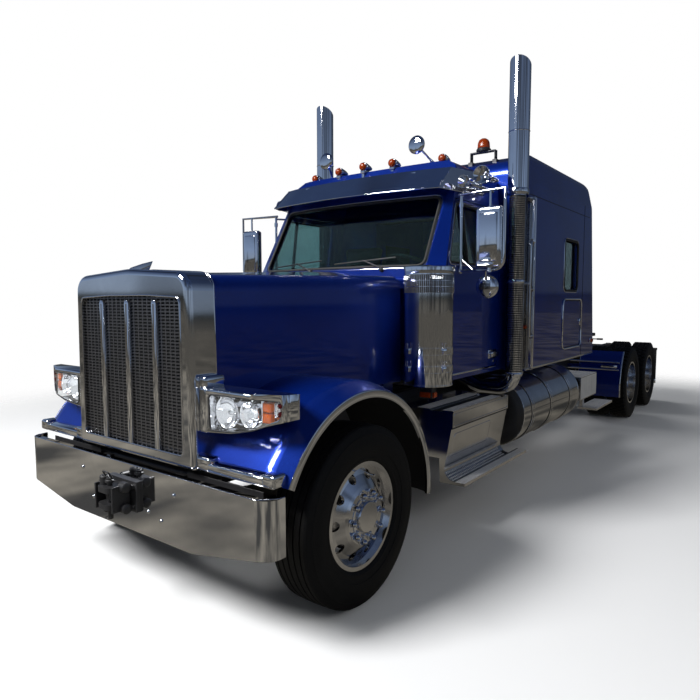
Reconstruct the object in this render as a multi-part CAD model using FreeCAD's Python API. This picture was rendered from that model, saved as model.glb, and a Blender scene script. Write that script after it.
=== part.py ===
import FreeCAD, Part
import math
import os

V = FreeCAD.Vector

# A long-nose highway tractor with a sleeper, in millimetres.
# X points to the vehicle's left, Y to its rear and Z up. Everything is drawn
# from the ground under the front axle and moved at the end, so that the
# origin lies on the ground under the middle of the whole length.

# Axles, wheels and tyres
wheelbase = 7765.0            # front axle to the middle of the tandem
tandem_spacing = 1341.0
tyre_radius = 541.5
steer_tyre_width = 288.0
drive_tyre_width = 272.0
rim_seat_radius = 311.15      # 24.5 inch rims
rim_lip = 10.0                # flange height over the bead seat
rim_width = 228.0
rim_wall = 14.0
tyre_tread_edge = 22.0        # how far the shoulder lies inside the widest point
tyre_wide_radius = 430.0
steer_wheel_x = 1075.0        # middle plane of a front tyre
dual_outer_x = 1080.0         # middle plane of an outer rear tyre
dual_spacing = 343.0
hub_radius = 110.0
hub_cap_radius = 88.0
disc_radius = 165.0           # flat bolt face of a disc
disc_thick = 22.0
drum_radius = 215.0
drum_wall = 14.0
hand_hole_count = 10
hand_hole_radius = 29.0
hand_hole_circle = 242.0
spindle_radius = 40.0
spindle_reach = 106.0         # spindle end, outside the middle plane of its tyre
running_gap = 0.3             # between a shaft and the hole that turns on it

# Steering
kingpin_x = 900.0
kingpin_radius = 22.0
steering_arm = 200.0
tie_rod_radius = 22.0
tie_rod_z = 392.0
tie_pin_radius = 13.0
open_pin_gap = 1.5            # at the right end of the tie rod
beam_half_depth = 45.0
eye_top = 600.0
eye_bottom = 482.0
fork_gap = 5.0                # between the fork of a knuckle and the axle eye
fork_thick = 38.0

# Ladder frame
rail_outer = 430.0
rail_height = 270.0
rail_flange = 89.0
rail_wall = 9.5
frame_top = 1000.0
frame_front = -640.0
frame_rear = 9150.0
cross_member_height = 120.0
cross_member_depth = 110.0
cross_member_places = (-500.0, 2250.0, 3600.0, 5000.0, 6350.0, 8500.0,
                       frame_rear - cross_member_depth / 2.0)

# Driveline
gearbox_rear = 2050.0
bowl_radius = 205.0           # round middle of a drive axle housing
bowl_front = 150.0            # axle line to the flat front of its housing
bowl_rear = 190.0

# Front bumper and tow hitch
bumper_front = -802.0
bumper_half = 1200.0
bumper_corner = 90.0
bumper_top = 840.0
bumper_bottom = 440.0
bumper_end_bottom = 535.0
bumper_wall = 6.0
bumper_return = 125.0
hitch_reach = 150.0
hitch_z = 662.0
hitch_bore = 16.3             # hole for a 32 mm tow pin
hitch_mouth = 68.0            # between the two jaws
hitch_jaw = 32.0

# Grille shell
shell_front = -755.0
shell_depth = 178.0
shell_half_bottom = 595.0
shell_half_top = 572.0
shell_bottom = 873.0
shell_top = 1997.0
shell_wall = 18.0
shell_plate = 20.0            # thickness of its face
shell_edge = 36.0             # rounding of its front edge
grille_half = 510.0
grille_bottom = 950.0
grille_top = 1832.0
grille_bar_width = 46.0
grille_bar_places = (-270.0, 0.0, 270.0)
grille_plate = 10.0
grille_rows = 24
grille_slot = 22.0            # height of one slot
grille_rib = 14.0             # solid edge at each side of a bay of slots

# Hood and fenders, which tilt forward together
hood_rear = 1062.0
hood_half_front = 575.0
hood_half_rear = 778.0
hood_top_front = 1978.0
hood_top_rear = 2052.0
hood_drop_front = 26.0        # from the middle of its top down to the corners
hood_drop_rear = 66.0
hood_wall = 16.0
cowl_inset = 14.0
cowl_gap = 8.0                # between the hood and the cowl behind it
cowl_bottom = 1900.0
hood_skirt = 1190.0
hood_pivot_y = -712.0
hood_pivot_z = 900.0
hood_pivot_x = 535.0
hood_pin_radius = 12.0
hood_ear_radius = 16.0
hood_ear_thick = 16.0
hood_ear_gap = 5.0
arch_y = 20.0
arch_z = 530.0
arch_radius = 712.0
arch_trim = 46.0
fender_crown = 806.0
fender_outer = bumper_half
fender_wall = 14.0
fender_front_angle = 153.0
fender_rear_angle = -4.0

# Headlamps
lamp_front = -708.0
lamp_back = -400.0
lamp_inner = 604.0
lamp_outer = 1192.0
lamp_bottom = 1092.0
lamp_bottom_outer = 1212.0
lamp_top = 1338.0
ledge_bottom = 884.0          # bright ledge along the foot of each fender
ledge_top = 926.0
ledge_front = -724.0

# Cab
cab_half = 1000.0
cab_front = 1265.0            # windshield foot at its corners
screen_half = 870.0           # half width of the face that holds the windshield
post_run = 77.0               # how far back the corner posts slant
cab_tumble = 120.0            # how far each side leans in by the roof
cab_rear = 2540.0
cab_bottom = 1172.0
cab_wall = 60.0
cab_roof = 3008.0
cab_sag = 89.0                # how far the windshield face bows forward
belt_z = 2060.0
screen_lean = 0.546           # windshield run for each unit of rise
roof_split = 2700.0
floor_thick = 60.0

# Doors
door_front = 1360.0
door_rear = 2372.0
door_bottom = 1212.0
door_top = 2640.0
door_gap = 8.0
door_hinge_out = 14.0         # hinge line outside the door skin
hinge_places = (1420.0, 1880.0)
hinge_height = 56.0           # one leaf
hinge_barrel = 12.0
hinge_pin = 6.0
hinge_leaf = 22.0
window_pane = 6.0
window_frame = 26.0           # door edge to the glass beside the corner post
post_lean = 0.4696            # run of a door's front edge for each unit of rise
window_bottom = 2108.0
window_top = 2592.0
window_rear = 2296.0
screen_bottom = 2082.0
screen_top = 2642.0
screen_set = 12.0             # how deep the windshield sits in its opening

# Sun visor
visor_low = 2688.0
visor_high = 2884.0
visor_run = 211.0             # how far it slants back over its height
visor_front = 1417.0          # lower edge at its creases
visor_half = 889.0
visor_bow = 95.0
visor_wing = 968.0            # half width over its wings
visor_rear = 2110.0
visor_sheet = 6.0

# Sleeper
sleeper_half = 1170.0
sleeper_front = 2600.0
sleeper_rear_top = 4640.0
sleeper_rear_bottom = 4905.0
sleeper_bottom = 1150.0
sleeper_top = 3256.0
sleeper_wall = 60.0
sleeper_roof_depth = 356.0    # top of the sleeper down to the seam of its roof
pass_half = 430.0
pass_bottom = 1300.0
pass_top = 2620.0

# Steering wheel
steering_tilt = (0.0, math.sin(math.radians(30.0)), math.cos(math.radians(30.0)))
steering_hub = (500.0, 1620.0, 2068.0)
column_gap = 92.0             # from the wheel's middle down to the column

# Fuel tanks, steps and boxes
tank_radius = 330.0
tank_x = 836.0
tank_z = 715.0
tank_front = 2640.0
tank_rear = 4400.0
tank_strap_places = (2880.0, 3430.0, 4080.0)
tank_strap_width = 60.0
strap_proud = 6.0
step_front = 1290.0
step_rear = 2380.0
step_outer = 1106.0
step_bottom = 575.0
tread_outer = 1212.0
tread_rear = 2590.0
tread_z = 410.0
tread_thick = 26.0
deck_z = 945.0
deck_strip = 15.0             # height of the raised strips on the deck
box_front = 4690.0
box_rear = 5400.0

# Exhaust and air intake
stack_x = 1120.0
stack_y = 2470.0
stack_top = 3940.0
stack_radius = 92.0
stack_joint_z = 2780.0
pipe_radius = 62.0
pipe_low_z = 985.0            # elbow below each stack
pipe_cross_z = 1090.0         # where it crosses over the frame
pipe_bend = 150.0
shield_radius = 70.0
shield_bottom = 1130.0
cleaner_x = 1003.0
cleaner_y = 1080.0
cleaner_radius = 180.0
cleaner_bottom = 1185.0
cleaner_top = 2032.0
cleaner_bands = (1290.0, 1420.0)

# Beacon on the sleeper roof
beacon_x = 600.0
beacon_y = 2870.0
beacon_z = 3290.0

# Mirrors
mirror_inner_x = 1014.0
mirror_inner_y = 1565.0
mirror_outer_x = 1407.0
mirror_outer_y = 1490.0
mirror_top = 2640.0
mirror_bottom = 2040.0
mirror_tube = 12.0
mirror_half = 104.0           # half width of the flat head

# Fifth wheel
fifth_y = 7600.0
fifth_pivot_z = 1165.0
fifth_top = 1248.0
fifth_half = 450.0
fifth_length = 930.0
kingpin_bore = 25.6
fifth_pin_radius = 20.0
fifth_thick = 46.0

drive_axles = (wheelbase - tandem_spacing / 2.0, wheelbase + tandem_spacing / 2.0)
tail_reach = frame_rear + 60.0
hitch_front = bumper_front - hitch_reach
hitch_pin_y = hitch_front + 52.0
middle_y = (hitch_front + tail_reach) / 2.0
frame_bottom = frame_top - rail_height
rim_flange_radius = rim_seat_radius + rim_lip
rim_well = rim_seat_radius - rim_wall
bead_half = rim_width / 2.0 - rim_wall
dual_middle_x = dual_outer_x - dual_spacing / 2.0
door_inside = cab_half - cab_wall
sleeper_split = sleeper_top - sleeper_roof_depth


def box(x0, x1, y0, y1, z0, z1):
    return Part.makeBox(x1 - x0, y1 - y0, z1 - z0, V(x0, y0, z0))


def rod(start, end, radius):
    line = V(*end) - V(*start)
    return Part.makeCylinder(radius, line.Length, V(*start), line)


def fuse(shapes):
    whole = shapes[0].multiFuse(shapes[1:]) if len(shapes) > 1 else shapes[0]
    return whole.removeSplitter()


def mirrored(shape):
    return shape.mirror(V(0, 0, 0), V(1, 0, 0))


def both(shape):
    return Part.makeCompound([shape, mirrored(shape)])


def outline(points, place):
    """Closed wire through 2-D points; a third value rounds that corner."""
    count = len(points)
    edges = []
    ends = []
    for i in range(count):
        here = V(points[i][0], points[i][1], 0)
        radius = points[i][2] if len(points[i]) > 2 else 0.0
        if radius <= 0.0:
            ends.append((here, None, here))
            continue
        back = V(points[i - 1][0], points[i - 1][1], 0) - here
        ahead = V(points[(i + 1) % count][0], points[(i + 1) % count][1], 0) - here
        back.normalize()
        ahead.normalize()
        half = math.acos(max(-1.0, min(1.0, back.dot(ahead)))) / 2.0
        cut = radius / math.tan(half)
        axis = back + ahead
        axis.normalize()
        middle = here + axis * (radius / math.sin(half) - radius)
        ends.append((here + back * cut, middle, here + ahead * cut))
    for i in range(count):
        first, middle, last = ends[i]
        if middle is not None:
            edges.append(Part.Arc(place(first), place(middle), place(last)).toShape())
        start = ends[(i + 1) % count][0]
        if (start - last).Length > 1e-6:
            edges.append(Part.makeLine(place(last), place(start)))
    return Part.Wire(edges)


def side_prism(points, x0, x1):
    """Outline in (Y, Z), pulled from x0 to x1."""
    wire = outline(points, lambda p: V(x0, p.x, p.y))
    return Part.Face(wire).extrude(V(x1 - x0, 0, 0))


def front_prism(points, y0, y1):
    """Outline in (X, Z), pulled from y0 to y1."""
    wire = outline(points, lambda p: V(p.x, y0, p.y))
    return Part.Face(wire).extrude(V(0, y1 - y0, 0))


def plan_prism(points, z0, z1):
    """Outline in (X, Y), pulled from z0 to z1."""
    wire = outline(points, lambda p: V(p.x, p.y, z0))
    return Part.Face(wire).extrude(V(0, 0, z1 - z0))


def spun(points, x, y, z):
    """Outline in (X, radius) measured from (x, y, z), turned about its axle line."""
    wire = outline(points, lambda p: V(x + p.x, y, z + p.y))
    return Part.Face(wire).revolve(V(x, y, z), V(1, 0, 0), 360)


def tube_path(points, radius, bend):
    """Round bar along straight runs joined by arcs of one bend radius."""
    runs = [V(*p) for p in points]
    edges = []
    last = runs[0]
    for i in range(1, len(runs) - 1):
        back = runs[i - 1] - runs[i]
        ahead = runs[i + 1] - runs[i]
        back.normalize()
        ahead.normalize()
        half = math.acos(max(-1.0, min(1.0, back.dot(ahead)))) / 2.0
        cut = bend / math.tan(half)
        axis = back + ahead
        axis.normalize()
        first = runs[i] + back * cut
        middle = runs[i] + axis * (bend / math.sin(half) - bend)
        end = runs[i] + ahead * cut
        edges.append(Part.makeLine(last, first))
        edges.append(Part.Arc(first, middle, end).toShape())
        last = end
    edges.append(Part.makeLine(last, runs[-1]))
    path = Part.Wire(edges)
    ring = Part.Wire([Part.makeCircle(radius, runs[0], runs[1] - runs[0])])
    return path.makePipeShell([ring], True, False)


# Wheels

def tyre_ring(x, width, y):
    half = width / 2.0
    shoulder = half - tyre_tread_edge
    bead_top = rim_flange_radius + 3.0
    points = ((-bead_half, rim_seat_radius), (-bead_half, bead_top), (-half, tyre_wide_radius),
              (-shoulder, tyre_radius), (shoulder, tyre_radius), (half, tyre_wide_radius),
              (bead_half, bead_top), (bead_half, rim_seat_radius))
    return spun(points, x, y, tyre_radius)


def hand_holes(low, high, x, y):
    """Cutters for the ring of holes through the discs."""
    holes = []
    for i in range(hand_hole_count):
        angle = 2.0 * math.pi * i / hand_hole_count
        cy = y + hand_hole_circle * math.cos(angle)
        cz = tyre_radius + hand_hole_circle * math.sin(angle)
        holes.append(rod((x + low, cy, cz), (x + high, cy, cz), hand_hole_radius))
    return Part.makeCompound(holes)


def brake_drum(start, end, x, y):
    return spun(((start, drum_radius - drum_wall), (start, drum_radius), (end, drum_radius),
                 (end, drum_radius - drum_wall)), x, y, tyre_radius)


def steer_rim():
    """Left front wheel: rim and dished disc in one profile, with hub and cap."""
    half = rim_width / 2.0
    face = disc_thick + 106.0
    back = face - disc_thick
    bore = spindle_radius + running_gap
    cap = face + 24.0
    profile = ((-half, rim_flange_radius), (-half, rim_well), (48.0, rim_well), (66.0, 240.0),
               (back - 6.0, disc_radius + 15.0), (back, hub_radius), (-60.0, hub_radius),
               (-60.0, bore), (spindle_reach + 14.0, bore), (spindle_reach + 14.0, 0.0),
               (cap, 0.0), (cap, hub_cap_radius), (cap - 6.0, hub_cap_radius + 7.0),
               (face, hub_cap_radius + 7.0), (face, disc_radius), (face - 10.0, disc_radius + 20.0),
               (84.0, 243.0), (66.0, rim_well), (half, rim_well), (half, rim_flange_radius),
               (bead_half, rim_flange_radius), (bead_half, rim_seat_radius),
               (-bead_half, rim_seat_radius), (-bead_half, rim_flange_radius))
    wheel = spun(profile, steer_wheel_x, 0.0, tyre_radius)
    wheel = wheel.cut(hand_holes(20.0, face, steer_wheel_x, 0.0))
    return fuse([wheel, brake_drum(-half + 2.0, 90.0, steer_wheel_x, 0.0)])


def drive_rim(y):
    """Left pair of rear rims in one profile, discs back to back on one hub."""
    apart = dual_spacing / 2.0
    half = rim_width / 2.0
    far = apart + half
    seat = apart + bead_half
    near = apart - half
    foot = disc_radius + 5.0
    bore = spindle_radius + running_gap
    profile = ((far, rim_flange_radius), (far, rim_well), (near + 68.0, rim_well),
               (disc_thick, foot), (disc_thick, 120.0), (120.0, hub_radius), (140.0, 96.0),
               (214.0, 78.0), (222.0, 60.0), (222.0, 0.0), (200.0, 0.0), (190.0, bore),
               (-150.0, bore), (-150.0, hub_radius - 5.0), (-disc_thick, hub_radius - 5.0),
               (-disc_thick, foot), (-near - 63.0, rim_well), (-far, rim_well),
               (-far, rim_flange_radius), (-seat, rim_flange_radius), (-seat, rim_seat_radius),
               (-near, rim_seat_radius), (-near, rim_well), (-near - 41.0, rim_well),
               (0.0, foot), (near + 41.0, rim_well), (near, rim_well), (near, rim_seat_radius),
               (seat, rim_seat_radius), (seat, rim_flange_radius))
    wheel = spun(profile, dual_middle_x, y, tyre_radius)
    wheel = wheel.cut(hand_holes(-far, far, dual_middle_x, y))
    return fuse([wheel, brake_drum(-far + 14.0, -40.0, dual_middle_x, y)])


def dual_tyres(y):
    return Part.makeCompound([tyre_ring(dual_outer_x, drive_tyre_width, y),
                              tyre_ring(dual_outer_x - dual_spacing, drive_tyre_width, y)])


# Front axle and steering

def axle_eye_hole(x):
    return rod((x, 0, eye_bottom - 60.0), (x, 0, eye_top + 60.0), kingpin_radius + running_gap)


def front_axle():
    """Dropped beam with an eye at each end, on a leaf spring under each rail."""
    reach = kingpin_x
    points = ((-reach, eye_bottom), (-760.0, eye_bottom, 40.0), (-600.0, 410.0, 40.0),
              (600.0, 410.0, 40.0), (760.0, eye_bottom, 40.0), (reach, eye_bottom),
              (reach, eye_top), (790.0, eye_top, 40.0), (600.0, 500.0, 40.0),
              (-600.0, 500.0, 40.0), (-790.0, eye_top, 40.0), (-reach, eye_top))
    beam = front_prism(points, -beam_half_depth, beam_half_depth)
    eyes = [rod((s * kingpin_x, 0, eye_bottom), (s * kingpin_x, 0, eye_top), beam_half_depth)
            for s in (1, -1)]
    beam = fuse([beam] + eyes)
    beam = beam.cut(axle_eye_hole(kingpin_x)).cut(axle_eye_hole(-kingpin_x))
    inner = rail_outer - rail_flange
    front_eye = -570.0
    rear_eye = 880.0
    spring = ((front_eye, 668.0), (0.0, 572.0, 1500.0), (rear_eye, 668.0), (rear_eye, 640.0),
              (160.0, 500.0, 200.0), (-160.0, 500.0, 200.0), (front_eye, 640.0))
    parts = [beam]
    leaf = side_prism(spring, inner, rail_outer)
    for y in (front_eye, rear_eye):
        leaf = leaf.fuse(box(inner, rail_outer, y - 45.0, y + 45.0, 620.0, frame_bottom))
    parts.append(leaf)
    parts.append(mirrored(leaf))
    return fuse(parts)


def knuckle_left():
    """Fork on the king pin, spindle for the wheel and arm for the tie rod."""
    fork_low = eye_bottom - fork_gap - fork_thick
    fork_high = eye_top + fork_gap + fork_thick
    upper = box(kingpin_x - 38.0, kingpin_x + 105.0, -40.0, 40.0, eye_top + fork_gap, fork_high)
    lower = box(kingpin_x - 38.0, kingpin_x + 105.0, -40.0, 40.0, fork_low, eye_bottom - fork_gap)
    upright = box(kingpin_x + 60.0, kingpin_x + 105.0, -60.0, 60.0, fork_low, fork_high)
    pin = rod((kingpin_x, 0, eye_bottom - 60.0), (kingpin_x, 0, eye_top + 60.0), kingpin_radius)
    spindle = rod((kingpin_x + 100.0, 0, tyre_radius),
                  (steer_wheel_x + spindle_reach, 0, tyre_radius), spindle_radius)
    arm = box(kingpin_x - 38.0, kingpin_x + 30.0, 30.0, steering_arm + 30.0,
              fork_low, fork_low + 30.0)
    whole = fuse([upper, lower, upright, pin, spindle, arm])
    hole = rod((kingpin_x, steering_arm, fork_low - 10.0),
               (kingpin_x, steering_arm, fork_low + 60.0), tie_pin_radius + running_gap)
    return whole.cut(hole)


def knuckle_right():
    shape = mirrored(knuckle_left())
    fork_low = eye_bottom - fork_gap - fork_thick
    hole = rod((-kingpin_x, steering_arm, fork_low - 10.0),
               (-kingpin_x, steering_arm, fork_low + 60.0), tie_pin_radius + open_pin_gap)
    return shape.cut(hole)


def tie_rod():
    pin_top = eye_bottom - fork_gap - fork_thick + 28.0
    end = kingpin_x + tie_pin_radius + 1.0
    bar = rod((-end, steering_arm, tie_rod_z), (end, steering_arm, tie_rod_z), tie_rod_radius)
    pins = [rod((s * kingpin_x, steering_arm, tie_rod_z), (s * kingpin_x, steering_arm, pin_top),
                tie_pin_radius) for s in (1, -1)]
    return fuse([bar] + pins)


def drive_axle_set():
    """Two banjo housings with stub axles, hung from the rails on air springs."""
    parts = []
    inner = rail_outer - rail_flange
    tube_end = dual_middle_x - 156.0
    for y in drive_axles:
        parts.append(rod((-tube_end, y, tyre_radius), (tube_end, y, tyre_radius), 68.0))
        for s in (1, -1):
            parts.append(rod((s * (tube_end - 10.0), y, tyre_radius),
                             (s * (dual_middle_x + 180.0), y, tyre_radius), spindle_radius))
        parts.append(rod((0, y - 60.0, tyre_radius), (0, y + 60.0, tyre_radius), bowl_radius))
        parts.append(Part.makeCone(bowl_radius, bowl_radius * 0.7, bowl_rear - 60.0,
                                   V(0, y + 60.0, tyre_radius), V(0, 1, 0)))
        parts.append(Part.makeCone(bowl_radius, bowl_radius * 0.5, bowl_front - 60.0,
                                   V(0, y - 60.0, tyre_radius), V(0, -1, 0)))
    for s in (1, -1):
        x0, x1 = sorted((s * inner, s * rail_outer))
        for y in drive_axles:
            parts.append(side_prism(((y - 560.0, 690.0), (y - 200.0, 600.0, 80.0),
                                     (y + 330.0, 600.0), (y + 330.0, 640.0),
                                     (y - 180.0, 640.0, 80.0), (y - 520.0, frame_bottom),
                                     (y - 600.0, frame_bottom)), x0, x1))
            bag_x = s * (inner + rail_outer) / 2.0
            parts.append(rod((bag_x, y + 230.0, 640.0), (bag_x, y + 230.0, frame_bottom), 95.0))
    return fuse(parts)


# Frame and what hangs on it

def frame_rails():
    """Two channel rails, joined by cross members and carrying the hood pivots."""
    inner = rail_outer - rail_flange
    web = rail_outer - rail_wall
    section = ((rail_outer, frame_bottom), (rail_outer, frame_top), (inner, frame_top),
               (inner, frame_top - rail_wall), (web, frame_top - rail_wall),
               (web, frame_bottom + rail_wall), (inner, frame_bottom + rail_wall),
               (inner, frame_bottom))
    rail = front_prism(section, frame_front, frame_rear)
    parts = [rail, mirrored(rail)]
    top = frame_top - rail_wall - 20.0
    for y in cross_member_places:
        parts.append(box(-web, web, y - cross_member_depth / 2.0, y + cross_member_depth / 2.0,
                         top - cross_member_height, top))
    for s in (1, -1):
        x0, x1 = sorted((s * (inner + 4.0), s * (rail_outer - 4.0)))
        parts.append(box(x0, x1, bumper_front + bumper_wall, frame_front + 40.0,
                         frame_bottom + 10.0, bumper_top - 30.0))
    parts.extend(hood_pivot_mounts())
    return fuse(parts)


def hood_pivot_mounts():
    """Cross tube at the front of the rails with an ear and a pin at each end."""
    tube_y = frame_front + 8.0
    tube_z = bumper_top - 42.0
    end = hood_pivot_x - hood_ear_gap - 7.0
    top = hood_pivot_z + hood_ear_radius
    low = hood_pivot_z - hood_ear_radius
    nose = hood_pivot_y - hood_ear_radius
    parts = [rod((-end, tube_y, tube_z), (end, tube_y, tube_z), 28.0)]
    for s in (1, -1):
        x0, x1 = sorted((s * (end - hood_ear_thick), s * end))
        ear = side_prism(((nose, low, hood_ear_radius - 0.1), (tube_y - 24.0, low, 8.0),
                          (tube_y - 26.0, tube_z), (tube_y + 26.0, tube_z),
                          (tube_y + 20.0, top, 20.0), (nose, top, hood_ear_radius - 0.1)), x0, x1)
        pin = rod((s * (end - 10.0), hood_pivot_y, hood_pivot_z),
                  (s * (hood_pivot_x + 14.0), hood_pivot_y, hood_pivot_z), hood_pin_radius)
        parts.extend((ear, pin))
    return parts


def front_bumper():
    """Flat-faced bumper with rounded ends, deeper in the middle."""
    back = bumper_front + bumper_return
    inner_half = bumper_half - bumper_wall
    plan = ((-bumper_half, back), (-bumper_half, bumper_front, bumper_corner),
            (bumper_half, bumper_front, bumper_corner), (bumper_half, back),
            (inner_half, back), (inner_half, bumper_front + bumper_wall,
                                 bumper_corner - bumper_wall),
            (-inner_half, bumper_front + bumper_wall, bumper_corner - bumper_wall),
            (-inner_half, back))
    skin = plan_prism(plan, bumper_bottom, bumper_top)
    far = bumper_half + 20.0
    foot = front_prism(((-far, bumper_end_bottom), (-far, bumper_top + 50.0),
                        (far, bumper_top + 50.0), (far, bumper_end_bottom),
                        (bumper_half - 60.0, bumper_end_bottom, 60.0),
                        (620.0, bumper_bottom, 120.0), (-620.0, bumper_bottom, 120.0),
                        (-bumper_half + 60.0, bumper_end_bottom, 60.0)),
                       bumper_front - 20.0, back + 20.0)
    shelf = box(-1090.0, 1090.0, bumper_front + bumper_wall, bumper_front + 46.0,
                bumper_top - bumper_wall, bumper_top)
    return fuse([skin.common(foot), shelf])


def tow_hitch():
    """Jaw on the middle of the bumper, bored for an upright pin."""
    face = bumper_front
    plate = box(-150.0, 150.0, face - 22.0, face, hitch_z - 90.0, hitch_z + 90.0)
    jaws = []
    for z in (hitch_z - hitch_mouth / 2.0 - hitch_jaw, hitch_z + hitch_mouth / 2.0):
        jaw = plan_prism(((-80.0, face - 10.0), (80.0, face - 10.0),
                          (62.0, face - hitch_reach, 40.0), (-62.0, face - hitch_reach, 40.0)),
                         z, z + hitch_jaw)
        jaws.append(jaw)
    bore = rod((0, hitch_pin_y, hitch_z - 90.0), (0, hitch_pin_y, hitch_z + 90.0), hitch_bore)
    return fuse([plate] + jaws).cut(bore)


def radiator():
    return box(-430.0, 430.0, -560.0, -440.0, frame_top, 1780.0)


def engine_block():
    """Engine and gearbox as one plain block on mounts against the rails."""
    web = rail_outer - rail_wall
    engine = box(-320.0, 320.0, -330.0, 1090.0, 650.0, 1620.0)
    gearbox = box(-230.0, 230.0, 1090.0, gearbox_rear, 640.0, 980.0)
    mounts = [box(-web, web, y - 60.0, y + 60.0, 800.0, 930.0) for y in (-200.0, 900.0)]
    return fuse([engine, gearbox] + mounts)


def drive_shaft():
    """Shaft from the gearbox to the first drive axle, and one between the axles."""
    first, second = drive_axles
    long = rod((0, gearbox_rear - 20.0, 790.0), (0, first - bowl_front + 20.0, 600.0), 55.0)
    short = rod((0, first + bowl_rear, 590.0), (0, second - bowl_front, 590.0), 45.0)
    return Part.makeCompound([long.common(box(-90.0, 90.0, gearbox_rear, first - bowl_front,
                                              400.0, 900.0)), short])


# Hood, grille shell and fenders

def shell_outline(inset):
    """Grille shell seen from the front: arched top on slightly leaning sides."""
    low = shell_bottom + inset
    top = shell_top - inset
    half_low = shell_half_bottom - inset
    half_top = shell_half_top - inset
    return ((-half_low, low, 30.0), (half_low, low, 30.0), (half_top, top - 34.0, 110.0),
            (0.0, top, 900.0), (-half_top, top - 34.0, 110.0))


def grille_opening(grow, y0, y1):
    half = grille_half + grow
    low = grille_bottom - grow
    top = grille_top + grow
    return front_prism(((-half, low, 40.0), (half, low, 40.0), (half - 8.0, top - 8.0, 46.0),
                        (0.0, top + 12.0, 900.0), (-half + 8.0, top - 8.0, 46.0)), y0, y1)


def grille_surround():
    """Chromed shell round the grille, open behind and below, with hinge ears."""
    back = shell_front + shell_depth
    rear_face = shell_front + shell_plate
    outer = front_prism(shell_outline(0.0), shell_front, back)
    rim = [e for e in outer.Edges if e.BoundBox.YMax < shell_front + 1.0]
    outer = outer.makeFillet(shell_edge, rim)
    inner = front_prism(shell_outline(shell_wall), rear_face, back + 10.0)
    below = box(-shell_half_bottom + 30.0, shell_half_bottom - 30.0, rear_face, back + 10.0,
                shell_bottom - 10.0, shell_bottom + shell_wall + 10.0)
    shell = outer.cut(inner).cut(below).cut(grille_opening(0.0, shell_front - 10.0, back))
    ears = []
    low = hood_pivot_z - hood_ear_radius
    for s in (1, -1):
        x0, x1 = sorted((s * (hood_pivot_x - 7.0), s * (hood_pivot_x + 14.0)))
        ears.append(side_prism(((rear_face - 1.0, low), (hood_pivot_y + hood_ear_radius, low, 12.0),
                                (hood_pivot_y + hood_ear_radius, hood_pivot_z + 60.0),
                                (rear_face - 1.0, hood_pivot_z + 80.0)), x0, x1))
    holes = rod((-hood_pivot_x - 30.0, hood_pivot_y, hood_pivot_z),
                (hood_pivot_x + 30.0, hood_pivot_y, hood_pivot_z), hood_pin_radius + running_gap)
    return fuse([shell] + ears).cut(holes)


def grille():
    """Slotted screen behind the opening, with three upright bars over it."""
    rear_face = shell_front + shell_plate
    screen = grille_opening(12.0, rear_face, rear_face + grille_plate)
    edges = (-grille_half,) + grille_bar_places + (grille_half,)
    pitch = (grille_top - grille_bottom) / grille_rows
    slots = []
    for i in range(len(edges) - 1):
        left = edges[i] + grille_bar_width / 2.0 + grille_rib
        right = edges[i + 1] - grille_bar_width / 2.0 - grille_rib
        for row in range(grille_rows):
            low = grille_bottom + pitch * (row + 0.5) - grille_slot / 2.0
            slots.append(box(left, right, rear_face - 1.0, rear_face + grille_plate + 1.0,
                             low, low + grille_slot))
    screen = screen.cut(Part.makeCompound(slots))
    bars = []
    for x in grille_bar_places:
        left = x - grille_bar_width / 2.0
        right = x + grille_bar_width / 2.0
        bars.append(front_prism(((left, grille_bottom + 0.5, 4.0), (right, grille_bottom + 0.5, 4.0),
                                 (right, grille_top - 20.0, 22.0), (left, grille_top - 20.0, 22.0)),
                                shell_front - 6.0, rear_face))
    return fuse([screen] + bars)


def hood_volume(inset, front, rear):
    """Solid under the hood skin, drawn in as much as inset."""
    sections = []
    length = hood_rear - (shell_front + shell_depth)
    for y in (front, rear):
        share = (y - shell_front - shell_depth) / length
        half = hood_half_front + (hood_half_rear - hood_half_front) * share - inset
        top = hood_top_front + (hood_top_rear - hood_top_front) * share - inset
        drop = hood_drop_front + (hood_drop_rear - hood_drop_front) * share
        low = 860.0
        points = ((-half, low), (half, low), (half - 14.0, top - drop, 100.0),
                  (0.0, top, 1500.0), (-half + 14.0, top - drop, 100.0))
        sections.append(outline(points, lambda p, y=y: V(p.x, y, p.y)))
    return Part.makeLoft(sections, True, True)


def arch_cylinder(radius):
    return rod((-fender_outer - 50.0, arch_y, arch_z), (fender_outer + 50.0, arch_y, arch_z),
               radius)


def hood():
    """One-piece hood skin, open below and behind, cut round the wheel arches."""
    front = shell_front + shell_depth
    skin = hood_volume(0.0, front, hood_rear).cut(hood_volume(hood_wall, front - 1.0,
                                                              hood_rear + 1.0))
    skin = skin.cut(arch_cylinder(fender_crown - fender_wall))
    skirt = box(-hood_half_rear - 50.0, hood_half_rear + 50.0, arch_y, hood_rear + 50.0,
                400.0, hood_skirt)
    return skin.cut(skirt)


def fender_section():
    """Half section of a fender over the tyre, in (X, radius)."""
    lip = arch_radius
    edge = arch_radius + arch_trim
    inside = fender_outer - fender_wall
    return ((540.0, fender_crown), (1085.0, fender_crown, 150.0), (fender_outer, edge - 4.0),
            (fender_outer, lip), (inside, lip), (inside, edge - 14.0),
            (1085.0 - 8.0, fender_crown - fender_wall, 136.0), (540.0, fender_crown - fender_wall))


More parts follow.
